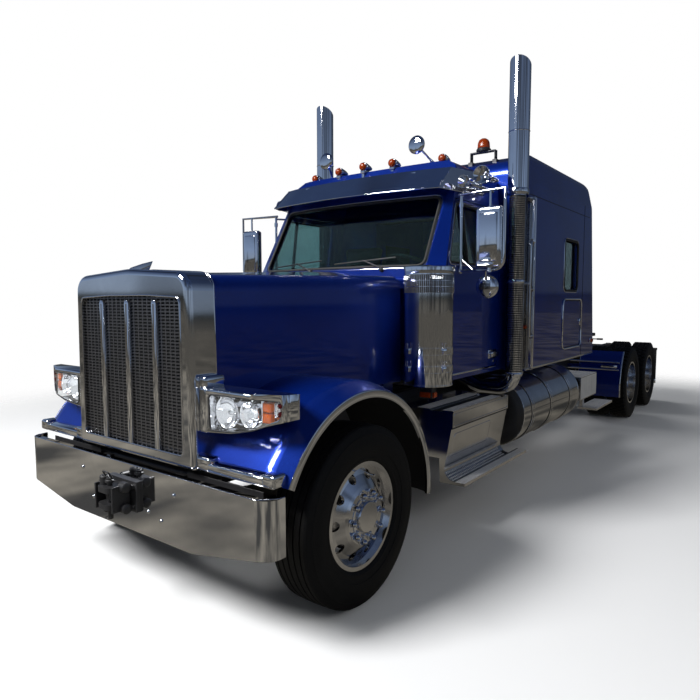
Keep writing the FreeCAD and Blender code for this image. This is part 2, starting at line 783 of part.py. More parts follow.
def front_fenders():
    start = fender_rear_angle
    sweep = fender_front_angle - fender_rear_angle
    wire = outline(fender_section(), lambda p: V(p.x, arch_y + p.y, arch_z))
    face = Part.Face(wire)
    face.rotate(V(0, arch_y, arch_z), V(1, 0, 0), start)
    left = face.revolve(V(0, arch_y, arch_z), V(1, 0, 0), sweep)
    nose = side_prism(((ledge_front, ledge_bottom, 8.0), (ledge_front + 90.0, ledge_bottom),
                       (ledge_front + 70.0, ledge_top + 12.0), (ledge_front, ledge_top, 14.0)),
                      560.0, fender_outer - 34.0)
    left = left.fuse(nose).removeSplitter()
    body = hood_volume(0.0, shell_front - 300.0, hood_rear + 10.0)
    shell = front_prism(shell_outline(0.0), shell_front, shell_front + shell_depth)
    left = left.cut(body).cut(shell)
    return both(left)


def headlamps():
    """Lamp pods standing on the fender beside the grille shell."""
    plan = ((lamp_inner, lamp_front), (990.0, lamp_front, 160.0),
            (lamp_outer - 24.0, lamp_front + 80.0, 60.0), (lamp_outer, lamp_front + 160.0, 24.0),
            (1010.0, lamp_back - 30.0, 60.0), (980.0, lamp_back), (lamp_inner, lamp_back))
    pod = plan_prism(plan, lamp_bottom - 20.0, lamp_top)
    face = front_prism(((lamp_inner - 10.0, lamp_bottom), (860.0, lamp_bottom + 24.0, 300.0),
                        (lamp_outer + 10.0, lamp_bottom_outer), (lamp_outer + 10.0, lamp_top + 8.0),
                        (lamp_inner - 10.0, lamp_top + 8.0)), lamp_front - 10.0, lamp_back + 10.0)
    side = side_prism(((lamp_front - 10.0, lamp_bottom - 30.0), (lamp_back + 10.0, lamp_bottom - 30.0),
                       (lamp_back + 10.0, lamp_top - 46.0), (lamp_front + 150.0, lamp_top, 60.0),
                       (lamp_front, lamp_top, 16.0), (lamp_front, lamp_bottom - 20.0)),
                      lamp_inner - 10.0, fender_outer + 10.0)
    pod = pod.common(face).common(side)
    pod = pod.cut(arch_cylinder(fender_crown + 0.2))
    pod = pod.cut(hood_volume(0.2, shell_front - 300.0, hood_rear))
    return both(pod)


# Cab

def bowed_plan(inset, z):
    """Cab outline seen from above: bowed front, slanting corner posts, straight sides."""
    front = cab_front
    side = front + post_run
    points = [V(screen_half, front, z), V(cab_half, side, z), V(cab_half, cab_rear, z),
              V(-cab_half, cab_rear, z), V(-cab_half, side, z), V(-screen_half, front, z)]
    edges = [Part.Arc(points[-1], V(0, front - cab_sag, z), points[0]).toShape()]
    edges += [Part.makeLine(points[i], points[i + 1]) for i in range(len(points) - 1)]
    wire = Part.Wire(edges)
    if inset != 0.0:
        wire = wire.makeOffset2D(-inset, 2)
    return Part.Face(wire)


def leaning_front(inset):
    """Cab outline carried up from the belt along the lean of the windshield."""
    rise = cab_roof + 100.0 - belt_z
    return bowed_plan(inset, belt_z).extrude(V(0, screen_lean * rise, rise))


def cab_volume(inset):
    """Solid inside the cab skin, drawn in as much as inset."""
    low = cab_bottom + inset
    top = cab_roof - inset
    lower = bowed_plan(inset, low).extrude(V(0, 0, belt_z - low))
    keep = box(-1200.0, 1200.0, 0.0, cab_rear - inset, belt_z, cab_roof + 100.0)
    whole = fuse([lower, leaning_front(inset).common(keep)])
    crown = side_prism(((900.0, cab_bottom - 10.0), (cab_rear + 10.0, cab_bottom - 10.0),
                        (cab_rear + 10.0, top), (1950.0, top, 600.0), (1640.0, top - 52.0, 150.0),
                        (1530.0, top - 120.0, 80.0), (900.0, top - 560.0)),
                       -1200.0, 1200.0)
    return whole.common(cab_sides(inset)).common(crown)


def cab_sides(inset):
    """Cab seen from the front: upright to the belt, then leaning in to the roof."""
    half = cab_half - inset
    top = cab_roof - inset
    low = cab_bottom - 100.0
    points = ((-half, low), (half, low), (half, belt_z), (half - cab_tumble, top - 45.0, 120.0),
              (0.0, top, 2500.0), (-half + cab_tumble, top - 45.0, 120.0), (-half, belt_z))
    return front_prism(points, 900.0, cab_rear + 10.0)


def hinge_half(z, side):
    """Half of a door hinge: side 1 is the door's leaf with its pin, -1 the post's."""
    x = cab_half + door_hinge_out
    y = door_front + door_gap
    low = z if side > 0 else z - hinge_height
    high = low + hinge_height - running_gap
    y0, y1 = sorted((y + side * (door_gap / 2.0), y + side * hinge_leaf))
    half = fuse([rod((x, y, low), (x, y, high), hinge_barrel),
                 box(cab_half - 4.0, x, y0, y1, low, high)])
    if side > 0:
        return half.fuse(rod((x, y, z - hinge_height + 4.0), (x, y, high), hinge_pin))
    return half.cut(rod((x, y, low - 1.0), (x, y, high + 1.0), hinge_pin + running_gap))


def windshield_hole(grow):
    low = screen_bottom - grow
    high = screen_top + grow
    half_low = screen_half - 25.0 + grow
    half_high = screen_half - 42.0 + grow
    return front_prism(((-half_low, low, 60.0), (half_low, low, 60.0), (half_high, high, 70.0),
                        (-half_high, high, 70.0)), 900.0, 1780.0)


def door_outline(inset):
    """Door seen from the side; its gap widens at the upper rear for the swing."""
    lean = post_lean * (door_top - belt_z)
    return ((door_front + inset, door_bottom + inset, 50.0),
            (door_rear - inset, door_bottom + inset, 90.0),
            (door_rear - inset * 1.6, door_top - inset, 70.0),
            (door_front + lean + inset, door_top - inset, 60.0),
            (door_front + inset, belt_z, 60.0))


def window_outline(inset):
    start = door_front + door_gap + window_frame + inset
    low = start + post_lean * (window_bottom - belt_z)
    high = start + post_lean * (window_top - belt_z)
    return ((low, window_bottom + inset, 20.0), (window_rear - inset, window_bottom + inset, 40.0),
            (window_rear - inset, window_top - inset, 50.0), (high, window_top - inset, 40.0))


def cab_pieces():
    """Cab skin, floor, roof, doors and panes, cut from one pair of volumes."""
    outer = cab_volume(0.0)
    inner = cab_volume(cab_wall)
    walls = outer.cut(inner)
    cuts = both(side_prism(door_outline(0.0), 0.0, 1100.0).cut(cab_sides(cab_wall + door_gap)))
    doorway = box(-pass_half, pass_half, cab_rear - 100.0, cab_rear + 50.0, pass_bottom, pass_top)
    shell = walls.cut(cuts).cut(doorway).cut(windshield_hole(0.0))
    above = box(-1300.0, 1300.0, 800.0, cab_rear + 100.0, roof_split, cab_roof + 300.0)
    below = box(-1300.0, 1300.0, 800.0, cab_rear + 100.0, cab_bottom - 100.0,
                cab_bottom + floor_thick)
    roof = shell.common(above)
    floor = shell.common(below)
    sides = shell.cut(above).cut(below)
    cowl = hood_volume(cowl_inset, hood_rear + cowl_gap, cab_front + post_run)
    cowl = cowl.common(box(-1000.0, 1000.0, 900.0, 1600.0, cowl_bottom, cowl_bottom + 300.0))
    leaves = [hinge_half(z, -1) for z in hinge_places]
    sides = fuse([sides, cowl.cut(outer)] + leaves + [mirrored(leaf) for leaf in leaves])
    mounts = []
    inner_x = rail_outer - rail_flange
    for y in (1420.0, 2330.0):
        for s in (1, -1):
            x0, x1 = sorted((s * (inner_x + 6.0), s * (rail_outer - 6.0)))
            mounts.append(box(x0, x1, y - 70.0, y + 70.0, frame_top, cab_bottom + 5.0))
    floor = fuse([floor] + mounts)
    glass_area = side_prism(window_outline(0.0), 700.0, 1100.0)
    door = walls.common(side_prism(door_outline(door_gap), 0.0, 1100.0).cut(cab_sides(cab_wall)))
    door = door.cut(glass_area)
    handle = box(cab_half - 4.0, cab_half + 26.0, 2190.0, 2310.0, 1310.0, 1345.0)
    door = fuse([door, handle] + [hinge_half(z, 1) for z in hinge_places])
    pane_out = cab_wall / 2.0 - window_pane / 2.0
    pane = cab_sides(pane_out).cut(cab_sides(pane_out + window_pane)).common(glass_area)
    screen = leaning_front(screen_set).cut(leaning_front(screen_set + window_pane))
    screen = screen.common(windshield_hole(0.0))
    return sides, floor, roof, door, pane, screen


def visor_volume(inset):
    """Slanted solid whose skin is the visor: bowed front and two wings."""
    run = visor_run
    rise = visor_high - visor_low
    z = visor_low
    points = [V(visor_half, visor_front, z), V(visor_wing - 18.0, visor_front + 290.0, z),
              V(visor_wing, visor_rear, z), V(-visor_wing, visor_rear, z),
              V(-visor_wing + 18.0, visor_front + 290.0, z), V(-visor_half, visor_front, z)]
    edges = [Part.Arc(points[-1], V(0, visor_front - visor_bow, z), points[0]).toShape()]
    edges += [Part.makeLine(points[i], points[i + 1]) for i in range(len(points) - 1)]
    wire = Part.Wire(edges)
    if inset != 0.0:
        wire = wire.makeOffset2D(-inset, 2)
    return Part.Face(wire).extrude(V(0, run, rise))


def sun_visor():
    """Polished sheet over the windshield, with a bracket at each wing and two above."""
    keep = side_prism(((1200.0, visor_low - 5.0), (1712.0, visor_low + 10.0),
                       (visor_rear, visor_low + 50.0, 20.0), (2056.0, visor_high - 76.0, 30.0),
                       (1880.0, visor_high + 5.0), (1200.0, visor_high + 5.0)), -1200.0, 1200.0)
    sheet = visor_volume(0.0).cut(visor_volume(visor_sheet)).common(keep)
    parts = [sheet]
    for s in (1, -1):
        x0, x1 = sorted((s * 860.0, s * (visor_wing - 4.0)))
        parts.append(box(x0, x1, 2040.0, 2070.0, visor_low + 62.0, visor_low + 96.0))
        x0, x1 = sorted((s * 560.0, s * 600.0))
        parts.append(box(x0, x1, visor_front + 130.0, visor_front + 360.0,
                         visor_high - 34.0, visor_high - 20.0))
    return fuse(parts).cut(cab_volume(-0.2))


def marker_lamp(x, y, z):
    """Bullet lamp lying on the roof, its lens forward, with a saddle below."""
    lens = rod((x, y - 30.0, z), (x, y, z), 34.0)
    body = rod((x, y, z), (x, y + 34.0, z), 38.0)
    tail = Part.makeCone(38.0, 12.0, 100.0, V(x, y + 34.0, z), V(0, 1, 0))
    saddle = box(x - 16.0, x + 16.0, y - 4.0, y + 60.0, 2850.0, z)
    return fuse([lens, body, tail, saddle]).cut(cab_volume(-0.2))


def marker_lamps():
    """Roof marker lamps, the beacon and the tail lamps."""
    parts = []
    for x, y, z in ((-706.0, 1812.0, 3012.0), (-295.0, 1664.0, 3002.0), (0.0, 1640.0, 3006.0),
                    (295.0, 1664.0, 3002.0), (706.0, 1812.0, 3012.0)):
        parts.append(marker_lamp(x, y, z))
    stand = [box(beacon_x - 135.0, beacon_x + 135.0, beacon_y - 30.0, beacon_y + 30.0,
                 beacon_z - 12.0, beacon_z)]
    for x in (beacon_x - 135.0, beacon_x + 123.0):
        stand.append(box(x, x + 12.0, beacon_y - 30.0, beacon_y + 30.0, 3000.0, beacon_z - 6.0))
    stand.append(rod((beacon_x, beacon_y, beacon_z - 2.0), (beacon_x, beacon_y, beacon_z + 24.0),
                     72.0))
    stand.append(rod((beacon_x, beacon_y, beacon_z + 20.0), (beacon_x, beacon_y, beacon_z + 130.0),
                     62.0))
    parts.append(fuse(stand).cut(sleeper_volume(-0.2)))
    for s in (1, -1):
        x0, x1 = sorted((s * 180.0, s * 400.0))
        parts.append(box(x0, x1, frame_rear, tail_reach, 800.0, 910.0))
    return Part.makeCompound(parts)


def trumpet(x, y, z, mouth):
    """Horn with its mouth forward, held by a foot on the side of the cab."""
    end = 2180.0
    bell = Part.makeCone(mouth, 26.0, mouth * 1.7, V(x, y, z), V(0, 1, 0))
    pipe = Part.makeCone(26.0, 14.0, end - y - mouth * 1.7, V(x, y + mouth * 1.7, z), V(0, 1, 0))
    foot = rod((700.0, end - 18.0, z), (x, end - 18.0, z), 14.0)
    side = cab_half - cab_tumble * (z - belt_z) / (cab_roof - 45.0 - belt_z)
    pad = box(700.0, side + 10.0, end - 50.0, end + 14.0, z - 28.0, z + 28.0)
    return fuse([bell, pipe, foot, pad]).cut(cab_volume(0.0))


def roof_fittings():
    """Two round mirrors on arms and two pairs of horns beside the roof."""
    parts = [trumpet(1005.0, 1613.0, 2752.0, 50.0), trumpet(1046.0, 1850.0, 2840.0, 74.0)]
    arm = rod((560.0, 1900.0, 2900.0), (500.0, 1740.0, 3130.0), 11.0)
    disc = rod((500.0, 1715.0, 3138.0), (500.0, 1745.0, 3138.0), 78.0)
    parts.append(fuse([arm, disc]).cut(cab_volume(-0.2)))
    return both(Part.makeCompound(parts))


# Sleeper

def sleeper_volume(inset):
    top = sleeper_top - inset
    half = sleeper_half - inset
    front = sleeper_front + inset
    low = sleeper_bottom + inset
    lean = (sleeper_rear_bottom - sleeper_rear_top) / (sleeper_top - 1308.0)
    side = ((front, low), (sleeper_rear_bottom - inset, low), (sleeper_rear_bottom - inset, 1308.0),
            (sleeper_rear_top - inset + lean * 60.0, top - 60.0, 140.0), (4300.0, top, 400.0),
            (3100.0, top, 900.0), (front, top - 170.0, 160.0))
    across = ((-half, low), (half, low), (half, sleeper_split, 300.0), (half - 60.0, top - 40.0, 170.0),
              (0.0, top, 2500.0), (-half + 60.0, top - 40.0, 170.0), (-half, sleeper_split, 300.0))
    return side_prism(side, -half - 10.0, half + 10.0).common(
        front_prism(across, front - 10.0, sleeper_rear_bottom + 10.0))


def sleeper_window(inset):
    low = 1915.0 + inset
    high = sleeper_split - 445.0 - inset
    return ((3700.0 + inset, low, 50.0), (4180.0 - inset, low, 50.0),
            (4180.0 - inset, high, 50.0), (3700.0 + inset, high, 50.0))


def sleeper_pieces():
    outer = sleeper_volume(0.0)
    walls = outer.cut(sleeper_volume(sleeper_wall))
    doorway = box(-pass_half, pass_half, sleeper_front - 50.0, sleeper_front + 150.0,
                  pass_bottom, pass_top)
    windows = side_prism(sleeper_window(0.0), -sleeper_half - 50.0, sleeper_half + 50.0)
    shell = walls.cut(doorway).cut(windows)
    above = box(-1400.0, 1400.0, 2400.0, 5200.0, sleeper_split, sleeper_top + 100.0)
    roof = shell.common(above)
    body = shell.cut(above)
    parts = [body]
    boot_outer = box(-pass_half - 50.0, pass_half + 50.0, cab_rear, sleeper_front,
                     pass_bottom - 50.0, pass_top + 50.0)
    boot_inner = box(-pass_half, pass_half, cab_rear - 5.0, sleeper_front + 5.0,
                     pass_bottom, pass_top)
    parts.append(boot_outer.cut(boot_inner))
    inner_x = rail_outer - rail_flange
    for y in (2900.0, 4600.0):
        for s in (1, -1):
            x0, x1 = sorted((s * (inner_x + 6.0), s * (rail_outer - 6.0)))
            parts.append(box(x0, x1, y - 70.0, y + 70.0, frame_top, sleeper_bottom + 5.0))
    pane = sleeper_volume(27.0).cut(sleeper_volume(27.0 + window_pane)).common(windows)
    return fuse(parts), roof, pane


def seats_and_bunk():
    """Two seats on pedestals and the bed across the back of the sleeper."""
    parts = []
    for x in (470.0, -470.0):
        stand = box(x - 170.0, x + 170.0, 1800.0, 2150.0, cab_bottom + floor_thick, 1560.0)
        cushion = box(x - 260.0, x + 260.0, 1740.0, 2240.0, 1560.0, 1700.0)
        back = side_prism(((2150.0, 1700.0), (2300.0, 1700.0), (2400.0, 2400.0, 50.0),
                           (2290.0, 2400.0, 50.0)), x - 250.0, x + 250.0)
        parts.append(fuse([stand, cushion, back]))
    bunk = box(-1080.0, 1080.0, 3900.0, 4650.0, sleeper_bottom + sleeper_wall, 1780.0)
    parts.append(bunk)
    return Part.makeCompound(parts)


def dashboard():
    points = ((1200.0, belt_z - 90.0), (1345.0, belt_z - 150.0), (1345.0, cab_bottom + 500.0),
              (1560.0, cab_bottom + 500.0), (1600.0, 1900.0, 40.0), (1500.0, belt_z, 50.0),
              (1200.0, belt_z))
    slab = side_prism(points, -930.0, 930.0).common(cab_volume(cab_wall))
    axis = V(*steering_tilt)
    top = V(*steering_hub) - axis * column_gap
    column = Part.makeCylinder(30.0, 130.0, top - axis * 130.0, axis)
    return fuse([slab, column])


def steering_wheel():
    axis = V(*steering_tilt)
    hub = V(*steering_hub)
    corners = [math.radians(22.5 + 45.0 * i) for i in range(8)]
    grip = [(222.0 + 16.0 * math.cos(a), 16.0 * math.sin(a)) for a in corners]
    section = Part.Face(outline(grip, lambda p: V(p.x, 0, p.y)))
    ring = section.revolve(V(0, 0, 0), V(0, 0, 1), 360)
    ring.rotate(V(0, 0, 0), V(1, 0, 0), -30.0)
    ring.translate(hub)
    boss = Part.makeCylinder(55.0, 60.0, hub - axis * 40.0, axis)
    stem = Part.makeCylinder(20.0, 80.0, hub - axis * (column_gap - running_gap), axis)
    spokes = []
    for angle in (90.0, 210.0, 330.0):
        spoke = Part.makeBox(222.0, 30.0, 14.0, V(0, -15.0, -7.0))
        spoke.rotate(V(0, 0, 0), V(0, 0, 1), angle)
        spoke.rotate(V(0, 0, 0), V(1, 0, 0), -30.0)
        spoke.translate(hub)
        spokes.append(spoke)
    return fuse([ring, boss, stem] + spokes)


# Chassis equipment

def air_cleaners():
    """Chromed canisters on the cowl beside the hood."""
    can = rod((cleaner_x, cleaner_y, cleaner_bottom), (cleaner_x, cleaner_y, cleaner_top),
              cleaner_radius)
    bands = [rod((cleaner_x, cleaner_y, z), (cleaner_x, cleaner_y, z + 44.0), cleaner_radius + 5.0)
             for z in cleaner_bands + (cleaner_top - 30.0,)]
    foot = box(cleaner_x - 110.0, cleaner_x - 20.0, cleaner_y, cab_front + post_run + 20.0,
               1400.0, 1500.0)
    return both(fuse([can] + bands + [foot]).cut(cab_volume(0.0)))


def exhaust_stacks():
    """Two upright stacks, joined by a pipe that crosses over the frame."""
    half = ((stack_x, stack_joint_z + 5.0), (stack_x, pipe_low_z), (780.0, pipe_low_z),
            (560.0, pipe_cross_z))
    path = [(-x, stack_y, z) for x, z in half] + [(x, stack_y, z) for x, z in reversed(half)]
    pipe = tube_path(path, pipe_radius, pipe_bend)
    parts = [pipe]
    for s in (1, -1):
        x = s * stack_x
        upper = rod((x, stack_y, stack_joint_z), (x, stack_y, stack_top + 10.0), stack_radius)
        mitre = side_prism(((stack_y - 200.0, stack_top), (stack_y - 92.0, stack_top),
                            (stack_y + 92.0, stack_top - 110.0), (stack_y + 200.0, stack_top - 110.0),
                            (stack_y + 200.0, stack_top + 100.0), (stack_y - 200.0, stack_top + 100.0)),
                           x - 200.0, x + 200.0)
        bore = rod((x, stack_y, stack_joint_z + 60.0), (x, stack_y, stack_top + 50.0),
                   stack_radius - 6.0)
        shield = rod((x, stack_y, shield_bottom), (x, stack_y, stack_joint_z), shield_radius)
        parts.append(upper.cut(mitre).cut(bore))
        parts.append(shield)
        for z in (1640.0, 2560.0):
            parts.append(box(x - 26.0, x + 26.0, stack_y + 40.0, sleeper_front, z, z + 44.0))
    return fuse(parts)


def fuel_tanks():
    """Round tanks under the sleeper, strapped to brackets on the rails."""
    tank = rod((tank_x, tank_front, tank_z), (tank_x, tank_rear, tank_z), tank_radius)
    parts = [tank]
    for y in tank_strap_places:
        low = y - tank_strap_width / 2.0
        high = y + tank_strap_width / 2.0
        parts.append(rod((tank_x, low, tank_z), (tank_x, high, tank_z), tank_radius + strap_proud))
        parts.append(box(rail_outer, tank_x - 200.0, low, high, tank_z - 220.0, frame_top - 20.0))
    return both(fuse(parts))


def access_steps():
    """Step boxes under the doors and boxes behind the tanks, with treads."""
    tread_low = tread_z - tread_thick
    section = ((rail_outer, step_bottom), (rail_outer, deck_z), (step_outer, deck_z),
               (step_outer - 2.0, deck_z - 120.0), (step_outer - 13.0, deck_z - 133.0),
               (1022.0, tread_z + 8.0, 84.0), (1130.0, tread_z), (tread_outer, tread_z),
               (tread_outer, tread_low), (1000.0, tread_low), (990.0, step_bottom))
    body = front_prism(section, step_front, step_rear)
    strips = [box(x0, x1, step_front, step_rear - 180.0, deck_z - 1.0, deck_z + deck_strip)
              for x0, x1 in ((790.0, 905.0), (1015.0, step_outer + 4.0))]
    tail = box(1120.0, tread_outer, step_rear - 20.0, tread_rear, tread_low, tread_z)
    front = fuse([body, tail] + strips)
    rear_box = box(rail_outer, 1105.0, box_front, box_rear, 575.0, 860.0)
    rear_tread = box(950.0, 1185.0, 5150.0, 5950.0, 390.0, 416.0)
    rear_leg = box(960.0, 1000.0, 5180.0, 5240.0, 400.0, 600.0)
    rear = fuse([rear_box, rear_tread, rear_leg])
    return Part.makeCompound([front, mirrored(front), rear, mirrored(rear)])


def quarter_fenders():
    """Curved guards in front of the first pair of drive wheels."""
    y = drive_axles[0]
    guard = spun(((610.0, 775.0), (1200.0, 775.0), (1200.0, 787.0), (610.0, 787.0)),
                 0.0, y, tyre_radius)
    keep = side_prism(((y - 900.0, 365.0), (y - 700.0, 365.0), (y - 560.0, tyre_radius + 300.0),
                       (y - 330.0, tyre_radius + 600.0), (y - 330.0, 1500.0), (y - 900.0, 1500.0)),
                      500.0, 1300.0)
    guard = guard.common(keep)
    arm = box(rail_outer, 640.0, y - 705.0, y - 655.0, 800.0, 850.0)
    ring = rod((600.0, y, tyre_radius), (1210.0, y, tyre_radius), 787.0)
    hold = box(600.0, 640.0, y - 740.0, y - 620.0, 780.0, 870.0).common(ring)
    return both(fuse([guard, arm, hold]))


def mudflaps():
    """Rubber flaps on a hanger behind the last wheels."""
    hanger = box(rail_outer - 2.0, 1200.0, frame_rear - 60.0, frame_rear - 20.0, 905.0, 945.0)
    flap = box(600.0, 1195.0, frame_rear - 46.0, frame_rear - 34.0, 300.0, 906.0)
    left = fuse([hanger.cut(box(0.0, rail_outer, 9000.0, 9300.0, 700.0, 1000.0)), flap])
    return both(left)


# Fifth wheel

def fifth_wheel_base():
    """Angle brackets on the rails with a pivot ear each side."""
    inner = rail_outer - rail_flange
    left = box(inner, rail_outer, fifth_y - 480.0, fifth_y + 480.0, frame_top, frame_top + 16.0)
    ear = side_prism(((fifth_y - 170.0, frame_top + 10.0), (fifth_y + 170.0, frame_top + 10.0),
                      (fifth_y + 34.0, fifth_pivot_z + 30.0, 30.0),
                      (fifth_y - 34.0, fifth_pivot_z + 30.0, 30.0)), 350.0, 400.0)
    hole = rod((300.0, fifth_y, fifth_pivot_z), (450.0, fifth_y, fifth_pivot_z),
               fifth_pin_radius + running_gap)
    left = left.fuse(ear).cut(hole)
    cross = box(-inner, inner, fifth_y - 60.0, fifth_y + 60.0, frame_top, frame_top + 16.0)
    return fuse([left, mirrored(left), cross])


def fifth_wheel_plate():
    """Tilting top plate with the throat for a trailer king pin."""
    back = fifth_y + fifth_length * 0.62
    front = fifth_y - fifth_length * 0.38
    plate = plan_prism(((-fifth_half, fifth_y - 60.0, 60.0), (-260.0, front, 120.0),
                        (260.0, front, 120.0), (fifth_half, fifth_y - 60.0, 60.0),
                        (fifth_half, fifth_y + 240.0, 60.0), (300.0, back, 20.0),
                        (170.0, back, 20.0), (30.0, fifth_y + 160.0, 10.0),
                        (-30.0, fifth_y + 160.0, 10.0), (-170.0, back, 20.0),
                        (-300.0, back, 20.0), (-fifth_half, fifth_y + 240.0, 60.0)),
                       fifth_top - fifth_thick, fifth_top)
    ramp = side_prism(((fifth_y + 330.0, fifth_top + 1.0), (back + 20.0, fifth_top + 1.0),
                       (back + 20.0, fifth_top - 40.0)), -fifth_half, fifth_half)
    plate = plate.cut(ramp)
    ribs = []
    for x in (-330.0, 330.0):
        ribs.append(box(x - 12.0, x + 12.0, fifth_y - 60.0, fifth_y + 60.0,
                        fifth_pivot_z - 34.0, fifth_top - 40.0))
    pins = [rod((s * 320.0, fifth_y, fifth_pivot_z), (s * 404.0, fifth_y, fifth_pivot_z),
                fifth_pin_radius) for s in (1, -1)]
    bore = rod((0, fifth_y, fifth_top - 80.0), (0, fifth_y, fifth_top + 20.0), kingpin_bore)
    return fuse([plate] + ribs + pins).cut(bore)


# Mirrors and small parts

def mirror_left():
    """Door mirror: a tube loop, the flat head and a round lower mirror."""
    inner_x, inner_y = mirror_inner_x, mirror_inner_y
    outer_x, outer_y = mirror_outer_x, mirror_outer_y
    loop = tube_path(((inner_x - 4.0, inner_y, mirror_top), (outer_x, outer_y, mirror_top),
                      (outer_x, outer_y, mirror_bottom), (inner_x - 4.0, inner_y, mirror_bottom)),
                     mirror_tube, 60.0)
    post = rod((inner_x, inner_y, mirror_bottom - 4.0), (inner_x, inner_y, mirror_top + 4.0),
               mirror_tube)
    foot = box(door_inside + 38.0, inner_x, inner_y - 14.0, inner_y + 14.0,
               mirror_bottom - 14.0, mirror_bottom + 14.0)
    stay_y = door_front + post_lean * (door_top - belt_z) + 80.0
    stay = rod((inner_x, inner_y, door_top - 24.0), (cab_half - cab_tumble, stay_y, door_top - 24.0),
               9.0)
    head_x = outer_x - mirror_tube - mirror_half - 3.0
    head_y = outer_y + 16.0
    head_low = mirror_bottom + 14.0
    head_high = mirror_top - 128.0
    head = box(head_x - mirror_half, head_x + mirror_half, head_y - 40.0, head_y + 22.0,
               head_low, head_high)
    stays = [rod((head_x, head_y, mirror_bottom), (head_x, head_y, head_low + 4.0), 9.0),
             rod((head_x, head_y, head_high - 4.0), (head_x, head_y, mirror_top), 9.0)]
    round_x = outer_x - 160.0
    round_y = inner_y - 10.0
    round_z = mirror_bottom - 126.0
    disc = rod((round_x, round_y - 26.0, round_z), (round_x, round_y + 14.0, round_z), 92.0)
    stalk = rod((round_x, outer_y + 34.0, round_z + 34.0),
                (round_x, outer_y + 34.0, mirror_bottom), 9.0)
    joiner = box(round_x - 10.0, round_x + 10.0, outer_y + 20.0, round_y, mirror_bottom - 60.0,
                 mirror_bottom - 40.0)
    whole = fuse([loop, post, head, disc, stalk, joiner, foot, stay] + stays)
    return whole.cut(cab_volume(0.0))


def build():
    """Every piece by its node name, still drawn from the front axle."""
    sides, floor, roof, door, pane, screen = cab_pieces()
    sleeper, sleeper_cap, bunk_panes = sleeper_pieces()
    pieces = {
        "frame_rails": frame_rails(),
        "front_bumper": front_bumper(),
        "tow_hitch": tow_hitch(),
        "radiator": radiator(),
        "engine_block": engine_block(),
        "drive_shaft": drive_shaft(),
        "front_axle": front_axle(),
        "drive_axles": drive_axle_set(),
        "cab_shell": sides,
        "cab_floor": floor,
        "cab_roof": roof,
        "fixed_glass": Part.makeCompound(screen.Solids + bunk_panes.Solids),
        "sun_visor": sun_visor(),
        "marker_lamps": marker_lamps(),
        "roof_fittings": roof_fittings(),
        "sleeper_shell": sleeper,
        "sleeper_roof": sleeper_cap,
        "seats_and_bunk": seats_and_bunk(),
        "dashboard": dashboard(),
        "steering_wheel": steering_wheel(),
        "air_cleaners": air_cleaners(),
        "exhaust_stacks": exhaust_stacks(),
        "fuel_tanks": fuel_tanks(),
        "access_steps": access_steps(),
        "quarter_fenders": quarter_fenders(),
        "mudflaps": mudflaps(),
        "fifth_wheel_base": fifth_wheel_base(),
        "fifth_wheel_plate": fifth_wheel_plate(),
        "hood": hood(),
        "front_fenders": front_fenders(),
        "grille_surround": grille_surround(),
        "grille": grille(),
        "headlamps": headlamps(),
        "door_left": door,
        "door_right": mirrored(door),
        "door_glass_left": pane,
        "door_glass_right": mirrored(pane),
        "mirror_left": mirror_left(),
        "mirror_right": mirrored(mirror_left()),
        "knuckle_left": knuckle_left(),
        "knuckle_right": knuckle_right(),
        "tie_rod": tie_rod(),
        "tyre_front_left": tyre_ring(steer_wheel_x, steer_tyre_width, 0.0),
        "rim_front_left": steer_rim(),
    }
    pieces["tyre_front_right"] = mirrored(pieces["tyre_front_left"])
    pieces["rim_front_right"] = mirrored(pieces["rim_front_left"])
    for name, y in zip(("mid", "rear"), drive_axles):
        tyres = dual_tyres(y)
        rims = drive_rim(y)
        pieces["tyres_" + name + "_left"] = tyres
        pieces["tyres_" + name + "_right"] = mirrored(tyres)
        pieces["rims_" + name + "_left"] = rims
        pieces["rims_" + name + "_right"] = mirrored(rims)
    return pieces


def main():
    os.makedirs("parts", exist_ok=True)
    for name, shape in build().items():
        shape.translate(V(0, -middle_y, 0))
        shape.exportStep("parts/" + name + ".step")


if __name__ == "__main__":
    main()
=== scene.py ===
import math

import bpy
from mathutils import Matrix, Vector


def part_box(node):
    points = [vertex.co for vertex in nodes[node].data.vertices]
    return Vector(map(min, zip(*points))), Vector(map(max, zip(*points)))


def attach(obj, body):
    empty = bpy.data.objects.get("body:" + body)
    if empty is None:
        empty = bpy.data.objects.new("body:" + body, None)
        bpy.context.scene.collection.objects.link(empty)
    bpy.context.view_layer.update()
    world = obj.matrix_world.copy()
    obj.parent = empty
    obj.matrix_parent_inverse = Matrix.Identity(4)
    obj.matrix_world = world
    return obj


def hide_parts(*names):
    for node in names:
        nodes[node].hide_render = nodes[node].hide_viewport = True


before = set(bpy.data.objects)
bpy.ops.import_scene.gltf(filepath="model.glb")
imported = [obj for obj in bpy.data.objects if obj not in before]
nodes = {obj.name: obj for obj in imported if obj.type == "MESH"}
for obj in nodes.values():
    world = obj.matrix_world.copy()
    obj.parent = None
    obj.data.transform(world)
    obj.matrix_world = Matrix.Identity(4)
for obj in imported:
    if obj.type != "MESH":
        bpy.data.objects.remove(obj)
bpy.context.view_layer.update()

xAxis, yAxis, zAxis, forward = (Vector(line) for line in ((1, 0, 0), (0, 1, 0), (0, 0, 1), (0, -1, 0)))
mergeGap = 0.00002

# every place below is written from the ground under the front axle, x to the truck's left, y to its rear
frontTyreLow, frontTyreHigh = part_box("tyre_front_left")
axleY = (frontTyreLow.y + frontTyreHigh.y) / 2
tyreRadius = (frontTyreHigh.z - frontTyreLow.z) / 2
print("frame loaded, front axle at", round(axleY, 3))


def at(x, y, z):
    return Vector((x, y + axleY, z))


# a written place as one in the scene; a Vector is one already
def inScene(place):
    return place if isinstance(place, Vector) else at(*place)


# (x, z) pairs at one y, and (y, z) pairs at one x
def fromFront(y, pairs):
    return [(x, y, z) for x, z in pairs]


